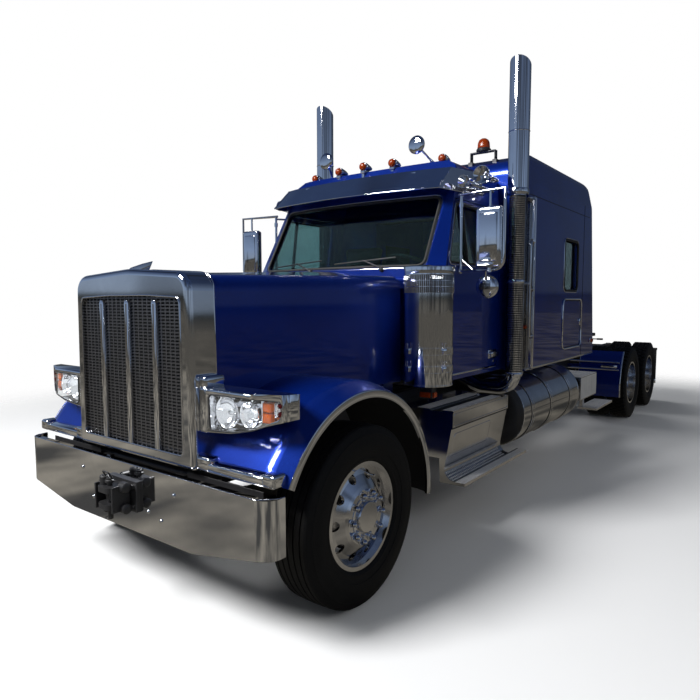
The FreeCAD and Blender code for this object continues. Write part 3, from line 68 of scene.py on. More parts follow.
def fromSide(x, pairs):
    return [(x, y, z) for y, z in pairs]


def rectangle(left, right, low, high):
    return (left, low), (right, low), (right, high), (left, high)


# modelling helpers

def pick(*pieces):
    if bpy.context.object and bpy.context.object.mode != "OBJECT":
        bpy.ops.object.mode_set(mode="OBJECT")
    bpy.ops.object.select_all(action="DESELECT")
    for piece in pieces:
        piece.select_set(True)
    if pieces:
        bpy.context.view_layer.objects.active = pieces[0]


def openEdit(piece, kind="VERT"):
    pick(piece)
    bpy.ops.object.mode_set(mode="EDIT")
    bpy.ops.mesh.select_mode(type=kind)
    bpy.ops.mesh.select_all(action="SELECT")


def closeEdit():
    bpy.ops.object.mode_set(mode="OBJECT")


# leaves only the faces that pass the test selected, with edit mode open
def chooseFaces(piece, test):
    openEdit(piece, "FACE")
    bpy.ops.mesh.select_all(action="DESELECT")
    closeEdit()
    for face in piece.data.polygons:
        face.select = test(face)
    bpy.ops.object.mode_set(mode="EDIT")


def settle(piece):
    pick(piece)
    bpy.ops.object.transform_apply(location=True, rotation=True, scale=True)


def modify(piece, kind, **settings):
    pick(piece)
    modifier = piece.modifiers.new(kind.lower(), kind)
    for key, value in settings.items():
        setattr(modifier, key, value)
    bpy.ops.object.modifier_apply(modifier=modifier.name)
    return piece


def repeated(piece, count, step):
    return modify(piece, "ARRAY", count=count, use_relative_offset=False, use_constant_offset=True,
        constant_offset_displace=step)


def boolean(piece, other, operation):
    modify(piece, "BOOLEAN", object=other, operation=operation, solver="EXACT")
    bpy.data.objects.remove(other)
    return piece


def smooth(piece, angle=35):
    pick(piece)
    bpy.ops.object.shade_smooth_by_angle(angle=math.radians(angle))
    return piece


def outward(piece):
    openEdit(piece)
    bpy.ops.mesh.remove_doubles(threshold=mergeGap)
    bpy.ops.mesh.normals_make_consistent(inside=False)
    closeEdit()
    return piece


def roundCorners(bend, steps=5):
    bpy.ops.mesh.bevel(offset=bend, segments=steps, affect="VERTICES", clamp_overlap=True)


def block(low, high, edge=0.004, steps=2):
    low, high = inScene(low), inScene(high)
    pick()
    bpy.ops.mesh.primitive_cube_add(size=1, location=(low + high) / 2, scale=high - low)
    piece = bpy.context.object
    settle(piece)
    openEdit(piece, "EDGE")
    bpy.ops.mesh.bevel(offset=edge, segments=steps, affect="EDGES", clamp_overlap=True)
    closeEdit()
    return piece


# edges from point to point, made by pulling one vertex along, with its corners rounded
def drawLine(points, bend=0):
    points = [inScene(point) for point in points]
    pick()
    bpy.ops.mesh.primitive_plane_add(size=0.01, location=points[0])
    piece = bpy.context.object
    settle(piece)
    openEdit(piece)
    bpy.ops.mesh.merge(type="CENTER")
    for here, after in zip(points, points[1:]):
        bpy.ops.mesh.extrude_region_move(TRANSFORM_OT_translate={"value": after - here})
    closeEdit()
    if bend:
        ends = {0, len(piece.data.vertices) - 1}
        for vertex in piece.data.vertices:
            vertex.select = vertex.index not in ends
        pick(piece)
        bpy.ops.object.mode_set(mode="EDIT")
        roundCorners(bend)
        closeEdit()
    return piece


# the line as a round tube
def thicken(line, radius, sides, caps):
    pick(line)
    bpy.ops.object.convert(target="CURVE")
    curve = bpy.context.object
    curve.data.bevel_depth = radius
    curve.data.bevel_resolution = sides
    curve.data.use_fill_caps = caps
    bpy.ops.object.convert(target="MESH")
    return smooth(outward(bpy.context.object), 50)


def tube(points, radius, bend=0, sides=3):
    return thicken(drawLine(points, bend), radius, sides, True)


# closed tube round a flat outline with rounded corners
def hoop(points, radius, bend, sides=2):
    piece = drawLine(points)
    openEdit(piece)
    bpy.ops.mesh.edge_face_add()
    bpy.ops.mesh.select_all(action="SELECT")
    if bend:
        roundCorners(bend)
        bpy.ops.mesh.select_all(action="SELECT")
    bpy.ops.mesh.delete(type="ONLY_FACE")
    closeEdit()
    return thicken(piece, radius, sides, False)


# a flat outline pulled to a thickness
def plate(points, pull, edge=0, bend=0):
    piece = drawLine(points)
    openEdit(piece)
    bpy.ops.mesh.edge_face_add()
    if bend:
        bpy.ops.mesh.select_all(action="SELECT")
        roundCorners(bend)
        bpy.ops.mesh.select_all(action="SELECT")
    bpy.ops.mesh.extrude_region_move(TRANSFORM_OT_translate={"value": Vector(pull)})
    closeEdit()
    outward(piece)
    if edge:
        modify(piece, "BEVEL", width=edge, segments=2, limit_method="ANGLE", angle_limit=math.radians(40))
    return piece


# profile of (along the axis, radius) pairs spun about the axis through centre
def turned(profile, centre, axis=xAxis, steps=48, closed=False, angle=40):
    axis, centre = Vector(axis).normalized(), inScene(centre)
    side = axis.orthogonal().normalized()
    if abs(axis.z) < 0.9:
        side = (zAxis - axis * axis.z).normalized()
    points = [centre + axis * along + side * radius for along, radius in profile]
    if closed:
        points.append(points[0])
    piece = drawLine(points)
    openEdit(piece)
    bpy.ops.mesh.spin(steps=steps, angle=2 * math.pi, center=centre, axis=axis)
    closeEdit()
    return smooth(outward(piece), angle)


# profile of (x, radius) pairs swept part of the way round an axle line, with its angles in degrees
def swept(profile, centre, start, sweep, steps):
    centre, start = inScene(centre), math.radians(start)
    turn = Vector((0, math.cos(start), math.sin(start)))
    points = [centre + Vector((x, 0, 0)) + turn * r for x, r in profile]
    piece = drawLine(points + [points[0]])
    openEdit(piece)
    bpy.ops.mesh.spin(steps=steps, angle=-math.radians(sweep), center=centre, axis=(1, 0, 0))
    bpy.ops.mesh.select_all(action="SELECT")
    bpy.ops.mesh.remove_doubles(threshold=mergeGap)
    bpy.ops.mesh.fill_holes(sides=0)
    closeEdit()
    return smooth(outward(piece))


def copyOf(piece, move):
    copy = piece.copy()
    copy.data = piece.data.copy()
    copy.data.transform(move)
    bpy.context.scene.collection.objects.link(copy)
    return copy


# the same piece on the other side of the truck
def twin(piece):
    copy = copyOf(piece, Matrix.Scale(-1, 4, xAxis))
    copy.data.flip_normals()
    return copy


def join(pieces):
    pick(*pieces)
    if len(pieces) > 1:
        bpy.ops.object.join()
    return bpy.context.object


# copies of one modelled piece joined into one
def spread(piece, moves):
    copies = [copyOf(piece, move) for move in moves]
    bpy.data.objects.remove(piece)
    return join(copies)


def about(axis, angle, centre):
    centre = inScene(centre)
    return Matrix.Translation(centre) @ Matrix.Rotation(angle, 4, axis) @ Matrix.Translation(-centre)


# a merged copy of a CAD node's mesh, to be cut and dressed
def nodeCopy(nodeName):
    piece = nodes[nodeName].copy()
    piece.data = piece.data.copy()
    piece.parent = None
    for key in list(piece.keys()):
        del piece[key]
    bpy.context.scene.collection.objects.link(piece)
    openEdit(piece)
    bpy.ops.mesh.remove_doubles(threshold=mergeGap / 2)
    closeEdit()
    return piece


# joins the parts into one piece and gives it its name, finish, body and slot
def finish(name, body, finishName, *parts, angle=None, standsFor=None):
    piece = join(parts)
    if angle:
        smooth(piece, angle)
    piece.name = name
    piece.data.materials.clear()
    piece.data.materials.append(finishes[finishName])
    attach(piece, body)
    if standsFor:
        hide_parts(standsFor)
    return piece


# one piece on both sides of the truck
def finishBoth(name, body, finishName, *parts, angle=None, standsFor=None):
    piece = join(parts)
    return finish(name, body, finishName, piece, twin(piece), angle=angle, standsFor=standsFor)


# a left piece and its twin, each on the body of its side
def finishPair(name, body, finishName, *parts, ends=("_left", "_right"), angle=None, standsFor=None):
    left = join(parts)
    for piece, end, side in ((left, ends[0], "_left"), (twin(left), ends[1], "_right")):
        finish(name + end, body + side, finishName, piece, angle=angle,
            standsFor=standsFor and standsFor + side)


# material helpers

def newGroup(name, inputs, outputs):
    group = bpy.data.node_groups.new(name, "ShaderNodeTree")
    for socketName, kind, value in inputs:
        socket = group.interface.new_socket(socketName, in_out="INPUT", socket_type=kind)
        socket.default_value = value
    for socketName, kind in outputs:
        group.interface.new_socket(socketName, in_out="OUTPUT", socket_type=kind)
    group.nodes.new("NodeGroupInput")
    group.nodes.new("NodeGroupOutput")
    return group


def addNode(tree, kind, values=None, **settings):
    node = tree.nodes.new(kind)
    for key, value in settings.items():
        setattr(node, key, value)
    for key, value in (values or {}).items():
        if hasattr(value, "is_output"):
            tree.links.new(value, node.inputs[key])
        else:
            node.inputs[key].default_value = value
    return node


def ends(group):
    entry = next(n for n in group.nodes if n.bl_idname == "NodeGroupInput")
    leave = next(n for n in group.nodes if n.bl_idname == "NodeGroupOutput")
    return entry.outputs, leave.inputs


def reach(tree, value, fromLow, fromHigh, toLow=0, toHigh=1):
    return addNode(tree, "ShaderNodeMapRange", {0: value, 1: fromLow, 2: fromHigh, 3: toLow,
        4: toHigh}).outputs[0]


def blendColour(tree, factor, first, second):
    return addNode(tree, "ShaderNodeMix", {0: factor, 6: first, 7: second}, data_type="RGBA").outputs[2]


def combine(tree, operation, first, second, **settings):
    return addNode(tree, "ShaderNodeMath", {0: first, 1: second}, operation=operation, **settings).outputs[0]


def objectPlace(tree):
    return addNode(tree, "ShaderNodeTexCoord").outputs["Object"]


def noise(tree, place, scale, detail, rough=0.5, distortion=0):
    values = {"Vector": place, "Scale": scale, "Detail": detail, "Roughness": rough, "Distortion": distortion}
    return addNode(tree, "ShaderNodeTexNoise", values).outputs[0]


# fine uneven grain: a value about one half and a height
def grainGroup():
    float4, vector4 = "NodeSocketFloat", "NodeSocketVector"
    group = newGroup("fineGrain", (("Scale", float4, 200), ("Stretch", vector4, (1, 1, 1))),
        (("Value", float4), ("Height", float4)))
    entry, leave = ends(group)
    mapped = addNode(group, "ShaderNodeMapping", {"Vector": objectPlace(group),
        "Scale": entry["Stretch"]}).outputs[0]
    coarse = noise(group, mapped, entry["Scale"], 4, 0.6)
    fine = noise(group, mapped, combine(group, "MULTIPLY", entry["Scale"], 3.1), 2)
    total = combine(group, "ADD", coarse, fine)
    group.links.new(reach(group, total, 0.6, 1.4), leave["Value"])
    group.links.new(total, leave["Height"])
    return group


# thin road dust that lies on what faces up and gathers low on the truck
def dustGroup():
    float4 = "NodeSocketFloat"
    group = newGroup("roadDust", (("Amount", float4, 0.3), ("Low", float4, 1.2)), (("Mask", float4),))
    entry, leave = ends(group)
    place = objectPlace(group)
    height = addNode(group, "ShaderNodeSeparateXYZ", {0: place}).outputs[2]
    low = reach(group, height, 0, entry["Low"], 1, 0.15)
    normal = addNode(group, "ShaderNodeNewGeometry").outputs["Normal"]
    up = addNode(group, "ShaderNodeSeparateXYZ", {0: normal}).outputs[2]
    lying = combine(group, "MULTIPLY", low, reach(group, up, -0.2, 1, 0.35, 1))
    patchy = combine(group, "MULTIPLY", lying, reach(group, noise(group, place, 3.5, 8, 0.65), 0.35, 0.75))
    group.links.new(combine(group, "MULTIPLY", patchy, entry["Amount"], use_clamp=True), leave["Mask"])
    return group


# mask of the edges that get rubbed: where a rounded normal leaves the true one
def wearGroup():
    float4 = "NodeSocketFloat"
    group = newGroup("edgeWear", (("Radius", float4, 0.006), ("Amount", float4, 0.6)), (("Mask", float4),))
    entry, leave = ends(group)
    rounded = addNode(group, "ShaderNodeBevel", {"Radius": entry["Radius"]}, samples=4).outputs[0]
    true = addNode(group, "ShaderNodeNewGeometry").outputs["Normal"]
    match = addNode(group, "ShaderNodeVectorMath", {0: rounded, 1: true}, operation="DOT_PRODUCT")
    edge = reach(group, match.outputs["Value"], 0.995, 0.86)
    patchy = combine(group, "MULTIPLY", edge, reach(group, noise(group, objectPlace(group), 30, 5), 0.38,
        0.62))
    group.links.new(combine(group, "MULTIPLY", patchy, entry["Amount"], use_clamp=True), leave["Mask"])
    return group


grain = grainGroup()
dust = dustGroup()
wear = wearGroup()


def newMaterial(name, **shaderValues):
    material = bpy.data.materials.new(name)
    material.use_nodes = True
    tree = material.node_tree
    shader = next(n for n in tree.nodes if n.bl_idname == "ShaderNodeBsdfPrincipled")
    for key, value in shaderValues.items():
        shader.inputs[key.replace("_", " ")].default_value = value
    return material, tree, shader


def useGroup(tree, group, **values):
    node = addNode(tree, "ShaderNodeGroup", node_tree=group)
    for key, value in values.items():
        node.inputs[key].default_value = value
    return node.outputs


def bumpFrom(tree, shader, height, strength, distance):
    bump = addNode(tree, "ShaderNodeBump", {"Strength": strength, "Distance": distance, "Height": height})
    tree.links.new(bump.outputs[0], shader.inputs["Normal"])


def dusted(tree, colour, look, low=1.2):
    mask = useGroup(tree, dust, Amount=look["dust"], Low=low)["Mask"]
    return mask, blendColour(tree, mask, colour, look["dustColour"])


def rgb(red, green, blue):
    return (red, green, blue, 1)


def grey(value):
    return rgb(value, value, value)


# deep metallic colour coat under a clear coat, with flake, faint waviness and a little dust
def paintMaterial(name, look):
    material, tree, shader = newMaterial(name, Metallic=look["metal"], Coat_Weight=1, Coat_Roughness=0.02,
        Coat_IOR=1.42, Specular_IOR_Level=0.2)
    place = objectPlace(tree)
    flake = addNode(tree, "ShaderNodeTexVoronoi", {"Vector": place, "Scale": look["flakeScale"]})
    shine = addNode(tree, "ShaderNodeSeparateColor", {0: flake.outputs["Color"]}).outputs[0]
    colour = blendColour(tree, reach(tree, shine, 0, 1, 0, look["flakeShare"]), look["colour"], look["flake"])
    cloud = noise(tree, place, 1.6, 3)
    colour = blendColour(tree, reach(tree, cloud, 0.35, 0.7, 0, 0.35), colour, look["deep"])
    tree.links.new(dusted(tree, colour, look)[1], shader.inputs["Base Color"])
    rough = useGroup(tree, grain, Scale=60)["Value"]
    tree.links.new(reach(tree, rough, 0, 1, look["rough"] - 0.04, look["rough"] + 0.06),
        shader.inputs["Roughness"])
    bumpFrom(tree, shader, noise(tree, place, 55, 1), 0.06, 0.0006)
    return material


# bright metal with faint polishing lines, smears and a trace of dust
def metalMaterial(name, look):
    material, tree, shader = newMaterial(name, Metallic=look.get("metal", 1))
    lines = useGroup(tree, grain, Scale=look["lineScale"], Stretch=look["stretch"])
    smear = noise(tree, objectPlace(tree), 4, 5, 0.7, 0.6)
    colour = blendColour(tree, reach(tree, smear, 0.3, 0.8), look["colour"], look["shade"])
    dusty, colour = dusted(tree, colour, look)
    tree.links.new(colour, shader.inputs["Base Color"])
    cloudy = reach(tree, smear, 0.35, 0.75, look["rough"], look["rough"] + look["haze"])
    fine = reach(tree, lines["Value"], 0, 1, 0, look["haze"])
    total = combine(tree, "ADD", cloudy, fine)
    withDust = addNode(tree, "ShaderNodeMath", {0: dusty, 1: 0.35, 2: total}, operation="MULTIPLY_ADD")
    tree.links.new(withDust.outputs[0], shader.inputs["Roughness"])
    bumpFrom(tree, shader, lines["Height"], look["bump"], 0.0004)
    return material


# painted, cast or moulded surface: grain, rubbed edges, dust, and an even or spotted colour
def roughMaterial(name, look):
    material, tree, shader = newMaterial(name, Metallic=look.get("metal", 0), Coat_Weight=look.get("coat", 0),
        Coat_Roughness=0.25, Specular_IOR_Level=look.get("specular", 0.5))
    fine = useGroup(tree, grain, Scale=look["grainScale"], Stretch=look.get("stretch", (1, 1, 1)))
    colour = blendColour(tree, fine["Value"], look["colour"], look["shade"])
    if look.get("wear"):
        rubbed = useGroup(tree, wear, Radius=0.004, Amount=look["wear"])["Mask"]
        colour = blendColour(tree, rubbed, colour, look["worn"])
    tree.links.new(dusted(tree, colour, look, look.get("low", 1.2))[1], shader.inputs["Base Color"])
    rough = reach(tree, fine["Value"], 0, 1, look["rough"] - 0.06, look["rough"] + 0.08)
    tree.links.new(rough, shader.inputs["Roughness"])
    bumpFrom(tree, shader, fine["Height"], look["bump"], look.get("depth", 0.001))
    return material


# clear or coloured lens with moulded flutes
def lensMaterial(name, look):
    material, tree, shader = newMaterial(name, Transmission_Weight=look["clear"], IOR=1.46)
    flutes = addNode(tree, "ShaderNodeTexWave", {"Vector": objectPlace(tree),
        "Scale": look["fluteScale"]}).outputs[1]
    tree.links.new(blendColour(tree, flutes, look["colour"], look["shade"]), shader.inputs["Base Color"])
    rough = useGroup(tree, grain, Scale=90)["Value"]
    tree.links.new(reach(tree, rough, 0, 1, look["rough"], look["rough"] + 0.05), shader.inputs["Roughness"])
    bumpFrom(tree, shader, flutes, look["bump"], 0.001)
    return material


# tinted pane with faint wiper haze; its tint is the glass's own teal, made darker as painted shade for the
# dark cab inside
def glassMaterial(name, look):
    material, tree, shader = newMaterial(name, Transmission_Weight=1, IOR=1.45)
    film = noise(tree, objectPlace(tree), 2.2, 6, 0.6)
    colour = blendColour(tree, reach(tree, film, 0.35, 0.7), look["colour"], look["shade"])
    tree.links.new(colour, shader.inputs["Base Color"])
    tree.links.new(reach(tree, film, 0.35, 0.75, 0, look["haze"]), shader.inputs["Roughness"])
    return material


paleDust = rgb(0.3, 0.27, 0.23)
finishes = {
    "paint": paintMaterial("deepBluePaint", {"colour": rgb(0.0008, 0.012, 0.175),
        "deep": rgb(0.0005, 0.005, 0.095),
        "flake": rgb(0.004, 0.07, 0.52), "flakeScale": 900, "flakeShare": 0.4, "metal": 0.6, "rough": 0.34,
        "dust": 0.015, "dustColour": paleDust}),
    "chrome": metalMaterial("brightChrome", {"colour": rgb(0.84, 0.85, 0.87), "shade": rgb(0.74, 0.75, 0.78),
        "lineScale": 40, "stretch": (1, 1, 6), "rough": 0.025, "haze": 0.03, "bump": 0.02, "dust": 0.06,
        "dustColour": paleDust}),
    "polished": metalMaterial("polishedAluminium", {"colour": rgb(0.8, 0.8, 0.81),
        "shade": rgb(0.66, 0.66, 0.67),
        "lineScale": 26, "stretch": (1, 14, 1), "rough": 0.07, "haze": 0.06, "bump": 0.05, "dust": 0.14,
        "dustColour": paleDust}),
    "brushed": metalMaterial("treadAluminium", {"colour": rgb(0.9, 0.89, 0.87),
        "shade": rgb(0.74, 0.73, 0.71),
        "lineScale": 60, "stretch": (1, 8, 1), "rough": 0.36, "haze": 0.14, "bump": 0.15, "dust": 0.15,
        "dustColour": rgb(0.55, 0.52, 0.48), "metal": 0.45}),
    "black": roughMaterial("satinBlack", {"colour": rgb(0.01, 0.01, 0.011), "shade": rgb(0.022, 0.022, 0.024),
        "grainScale": 120, "rough": 0.38, "bump": 0.12, "dust": 0.35, "dustColour": rgb(0.11, 0.1, 0.09),
        "wear": 0.5, "worn": grey(0.1)}),
    "iron": roughMaterial("castIron", {"colour": rgb(0.045, 0.045, 0.047), "shade": rgb(0.09, 0.087, 0.083),
        "grainScale": 160, "rough": 0.55, "bump": 0.5, "metal": 0.6, "dust": 0.4,
        "dustColour": rgb(0.12, 0.105, 0.09), "wear": 0.6, "worn": rgb(0.25, 0.24, 0.23)}),
    "tyre": roughMaterial("tyreRubber", {"colour": rgb(0.003, 0.003, 0.0034), "shade": grey(0.0065),
        "grainScale": 220, "rough": 0.6, "bump": 0.25, "dust": 0.3, "dustColour": rgb(0.04, 0.037, 0.034),
        "low": 0.7, "specular": 0.22}),
    "screen": roughMaterial("grilleScreenMetal", {"colour": rgb(0.1, 0.1, 0.105),
        "shade": rgb(0.2, 0.2, 0.21),
        "grainScale": 150, "rough": 0.3, "bump": 0.1, "metal": 0.9, "dust": 0.3,
        "dustColour": rgb(0.16, 0.14, 0.12)}),
    "liner": roughMaterial("archLiner", {"colour": grey(0.006), "shade": grey(0.012), "grainScale": 70,
        "rough": 0.75, "bump": 0.4, "dust": 0.4, "dustColour": rgb(0.05, 0.045, 0.04)}),
    "flap": roughMaterial("flapRubber", {"colour": grey(0.01), "shade": grey(0.02), "grainScale": 90,
        "rough": 0.6,
        "stretch": (1, 1, 3), "bump": 0.3, "dust": 0.5, "dustColour": rgb(0.08, 0.07, 0.06)}),
    # glass tint darker than the real glass, partly painted shade for the cab inside
    "glass": glassMaterial("tintedGlassWithShade", {"colour": rgb(0.25, 0.39, 0.4), "shade": rgb(0.2, 0.33, 0.35),
        "haze": 0.03}),
    "amber": lensMaterial("amberLens", {"colour": rgb(0.42, 0.055, 0.003), "shade": rgb(0.2, 0.022, 0.002),
        "clear": 0.25, "fluteScale": 60, "rough": 0.1, "bump": 0.35}),
    "orange": lensMaterial("indicatorLens", {"colour": rgb(0.88, 0.16, 0), "shade": rgb(0.62, 0.09, 0),
        "clear": 0,
        "fluteScale": 90, "rough": 0.1, "bump": 0.3}),
    "red": lensMaterial("redLens", {"colour": rgb(0.09, 0.002, 0.002), "shade": rgb(0.04, 0.001, 0.001),
        "clear": 0.3, "fluteScale": 60, "rough": 0.12, "bump": 0.35}),
    "clear": lensMaterial("clearLens", {"colour": rgb(0.93, 0.95, 0.96), "shade": rgb(0.88, 0.9, 0.92),
        "clear": 1,
        "fluteScale": 20, "rough": 0, "bump": 0.04}),
    "seat": roughMaterial("seatCloth", {"colour": rgb(0.045, 0.047, 0.052), "shade": rgb(0.09, 0.093, 0.1),
        "grainScale": 700, "rough": 0.85, "bump": 0.6, "dust": 0, "dustColour": paleDust}),
    "dash": roughMaterial("mouldedDash", {"colour": rgb(0.03, 0.031, 0.033), "shade": rgb(0.05, 0.051, 0.053),
        "grainScale": 420, "rough": 0.6, "bump": 0.5, "dust": 0, "dustColour": paleDust}),
}
print("materials built:", len(finishes))

nodeFinish = {
    "paint": ("cab_shell", "cab_floor", "cab_roof", "sleeper_shell", "sleeper_roof", "hood", "front_fenders",
        "door_left", "door_right", "quarter_fenders"),
    "chrome": ("front_bumper", "grille_surround", "air_cleaners", "exhaust_stacks", "sun_visor", "headlamps",
        "roof_fittings", "mirror_left", "mirror_right"),
    "polished": ("fuel_tanks", "access_steps", "rim_front_left", "rim_front_right", "rims_mid_left",
        "rims_mid_right", "rims_rear_left", "rims_rear_right"),
    "black": ("frame_rails", "tow_hitch", "drive_axles", "front_axle", "fifth_wheel_base",
        "fifth_wheel_plate",
        "drive_shaft", "grille"),
    "iron": ("knuckle_left", "knuckle_right", "tie_rod", "engine_block", "radiator"),
    "tyre": ("tyre_front_left", "tyre_front_right", "tyres_mid_left", "tyres_mid_right", "tyres_rear_left",
        "tyres_rear_right"),
    "flap": ("mudflaps",), "glass": ("fixed_glass", "door_glass_left", "door_glass_right"),
    "amber": ("marker_lamps",), "seat": ("seats_and_bunk",), "dash": ("dashboard", "steering_wheel")}
for finishName, nodeNames in nodeFinish.items():
    for nodeName in nodeNames:
        for entry in nodes[nodeName].material_slots:
            entry.material = finishes[finishName]

# tyres

steerTyre = {
    "half": 0.144, "grooves": (-0.088, -0.044, 0, 0.044, 0.088), "grooveHalf": 0.0048, "grooveDepth": 0.013,
    "taper": 0.0012, "crown": 0.32, "steps": 112}
driveTyre = {
    "half": 0.136, "base": 0.5245, "rows": (-0.0935, -0.033, 0.033, 0.0935), "lugWidth": 0.047,
    "lugLength": 0.052,
    "lugs": 46, "steps": 80, "spacing": 0.343}


# outer sidewall from the shoulder down to the bead, as (offset, radius) pairs
def sidewall(half, side):
    wider = half - 0.144
    points = ((0.113, 0.5375), (0.123, 0.53), (0.129, 0.515), (0.136, 0.492), (0.1385, 0.49), (0.1395, 0.47),
        (0.1425, 0.452), (0.144, 0.428), (0.1434, 0.41), (0.14, 0.388), (0.137, 0.387), (0.1335, 0.366),
        (0.129, 0.349), (0.13, 0.344), (0.124, 0.333), (0.118, 0.3275), (0.115, 0.3245), (0.1005, 0.3228),
        (0.0988, 0.3125))
    return [(side * (x + wider if r > 0.33 else x), r) for x, r in points]


def tyreLining():
    lining = [(0.0985, 0.33), (0.12, 0.37), (0.122, 0.43), (0.108, 0.49), (0.05, 0.506), (0, 0.508)]
    return lining + [(-x, r) for x, r in reversed(lining[:-1])]


def steerProfile(look):
    half, depth, taper = look["grooveHalf"], look["grooveDepth"], look["taper"]
    crown = []
    for groove in look["grooves"]:
        top = tyreRadius - look["crown"] * groove * groove
        crown += [(groove - half, top), (groove - half + taper, top - depth),
            (groove + half - taper, top - depth),
            (groove + half, top)]
    return sidewall(look["half"], -1)[::-1] + crown + sidewall(look["half"], 1) + tyreLining()


def driveProfile(look):
    shoulder = look["half"] - 0.031
    crown = [(-shoulder, look["base"]), (0, look["base"] + 0.002), (shoulder, look["base"])]
    return sidewall(look["half"], -1)[:1:-1] + crown + sidewall(look["half"], 1)[2:] + tyreLining()


# carcass with four staggered rows of tread blocks
def driveTyrePiece(x, y, look):
    centre = at(x, y, tyreRadius)
    rows = [turned(driveProfile(look), centre, steps=look["steps"], closed=True, angle=30)]
    low, high = look["base"] - 0.008, tyreRadius - 0.0008
    wide, long, turn = look["lugWidth"] / 2, look["lugLength"] / 2, 2 * math.pi / look["lugs"]
    for number, across in enumerate(look["rows"]):
        lug = block(centre + Vector((across - wide, -long, low)),
            centre + Vector((across + wide, long, high)),
            0.0035, 1)
        rows.append(spread(lug, [about(xAxis, turn * (i + 0.5 * (number % 2)), centre)
            for i in range(look["lugs"])]))
    return join(rows)


print("tyres")
steerX = (frontTyreLow.x + frontTyreHigh.x) / 2
steerPiece = turned(steerProfile(steerTyre), (steerX, 0, tyreRadius), steps=steerTyre["steps"], closed=True,
    angle=30)
finishPair("steerTyre", "wheel_front", "tyre", steerPiece, ends=("Left", "Right"), standsFor="tyre_front")

midLow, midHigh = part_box("tyres_mid_left")
rearLow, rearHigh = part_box("tyres_rear_left")
midY, rearY = ((low.y + high.y) / 2 - axleY for low, high in ((midLow, midHigh), (rearLow, rearHigh)))
dualX = midHigh.x - driveTyre["half"]
dualMiddle = dualX - driveTyre["spacing"] / 2
outerTyre = driveTyrePiece(dualX, midY, driveTyre)
midTyres = join([outerTyre, copyOf(outerTyre, Matrix.Translation((-driveTyre["spacing"], 0, 0)))])
rearTyres = copyOf(midTyres, Matrix.Translation((0, rearY - midY, 0)))
for place, tyres in (("mid", midTyres), ("rear", rearTyres)):
    finishPair("driveTyres_" + place, "wheels_" + place, "tyre", tyres, standsFor="tyres_" + place)

# wheel fittings: chrome lug covers, the ring of small nuts round the hub and the front valves

lugLook = {
    "count": 10, "circle": 0.1435, "inner": (0.004, 0, 0.1125),
    "cover": ((0, 0.0235), (0.004, 0.0235), (0.006, 0.019), (0.026, 0.017), (0.036, 0.013), (0.042, 0.0065),
        (0.0435, 0)),
    "dome": ((0, 0.0105), (0.008, 0.0098), (0.013, 0.006), (0.0148, 0)),
    "ring": ((0, 0.1275), (0.0035, 0.1275), (0.0045, 0.1245), (0.0045, 0.103), (0, 0.1))}
valveLook = {
    "path": ((-0.045, 0, 0.285), (0.005, 0, 0.268), (0.052, 0, 0.258)), "radius": 0.0042,
    "capPlace": (0.05, 0, 0.258), "cap": ((0, 0), (0, 0.0062), (0.016, 0.0062), (0.019, 0))}


def lugSet(centre, look):
    turns = [about(xAxis, 2 * math.pi * (i + 0.5) / look["count"], centre) for i in range(look["count"])]
    covers = spread(turned(look["cover"], centre + Vector((0, 0, look["circle"])), steps=12), turns)
    domes = spread(turned(look["dome"], centre + Vector(look["inner"]), steps=10), turns)
    return [covers, domes, turned(look["ring"], centre)]


def valveStem(centre, look):
    stem = tube([centre + Vector(step) for step in look["path"]], look["radius"], 0.02, 2)
    return join([stem, turned(look["cap"], centre + Vector(look["capPlace"]), steps=8)])


print("wheel fittings")
for body, x, y in (("wheel_front", steerX + 0.128, 0), ("wheels_mid", dualMiddle + 0.022, midY),
        ("wheels_rear", dualMiddle + 0.022, rearY)):
    centre = at(x, y, tyreRadius)
    fittings = lugSet(centre, lugLook)
    if body == "wheel_front":
        fittings.append(valveStem(centre, valveLook))
    finishPair("lugCovers_" + body.split("_")[1], body, "chrome", *fittings)

# grille

grilleLook = {
    "half": 0.516, "low": 0.944, "high": 1.842, "face": -0.7335, "thick": 0.008, "bars": (-0.27, 0, 0.27),
    "across": 6, "rows": 47, "web": 0.0042, "round": 0.0034,
    "bar": ((-0.023, 0.9505), (0.023, 0.9505), (0.023, 1.792), (0.012, 1.812), (-0.012, 1.812),
        (-0.023, 1.792)),
    "tip": ((-0.004, 0), (-0.004, 0.017), (0.006, 0.0165), (0.014, 0.012), (0.018, 0)),
    "lip": ((-0.51, 0.95), (0.51, 0.95), (0.503, 1.826), (0.2, 1.8395), (-0.2, 1.8395), (-0.503, 1.826)),
    "seam": ((-0.592, 0.905), (-0.572, 1.93), (-0.5, 1.968), (0, 1.9955), (0.5, 1.968), (0.572, 1.93),
        (0.592, 0.905)),
    "ornament": ((-0.742, 1.984), (-0.6, 1.986), (-0.588, 2.004), (-0.566, 2.05), (-0.64, 2.03),
        (-0.715, 2.004))}


# one bay of slots: a cell with a hole in it, repeated across and up
def slottedBay(left, right, look):
    wide, tall = (right - left) / look["across"], (look["high"] - look["low"]) / look["rows"]
    middle = at(left + wide / 2, look["face"], look["low"] + tall / 2)
    pick()
    bpy.ops.mesh.primitive_plane_add(size=1, location=middle, rotation=(math.pi / 2, 0, 0))
    piece = bpy.context.object
    piece.scale = (wide, tall, 1)
    settle(piece)
    openEdit(piece, "FACE")
    bpy.ops.mesh.inset(thickness=look["web"])
    bpy.ops.mesh.bevel(offset=look["round"], segments=2, affect="VERTICES")
    closeEdit()
    chooseFaces(piece, lambda face: (face.center - middle).length < 0.001 and len(face.vertices) > 4)
    bpy.ops.mesh.delete(type="FACE")
    closeEdit()
    repeated(piece, look["across"], (wide, 0, 0))
    repeated(piece, look["rows"], (0, 0, tall))
    openEdit(piece)
    bpy.ops.mesh.remove_doubles(threshold=0.0002)
    closeEdit()
    return modify(piece, "SOLIDIFY", thickness=look["thick"], offset=0)


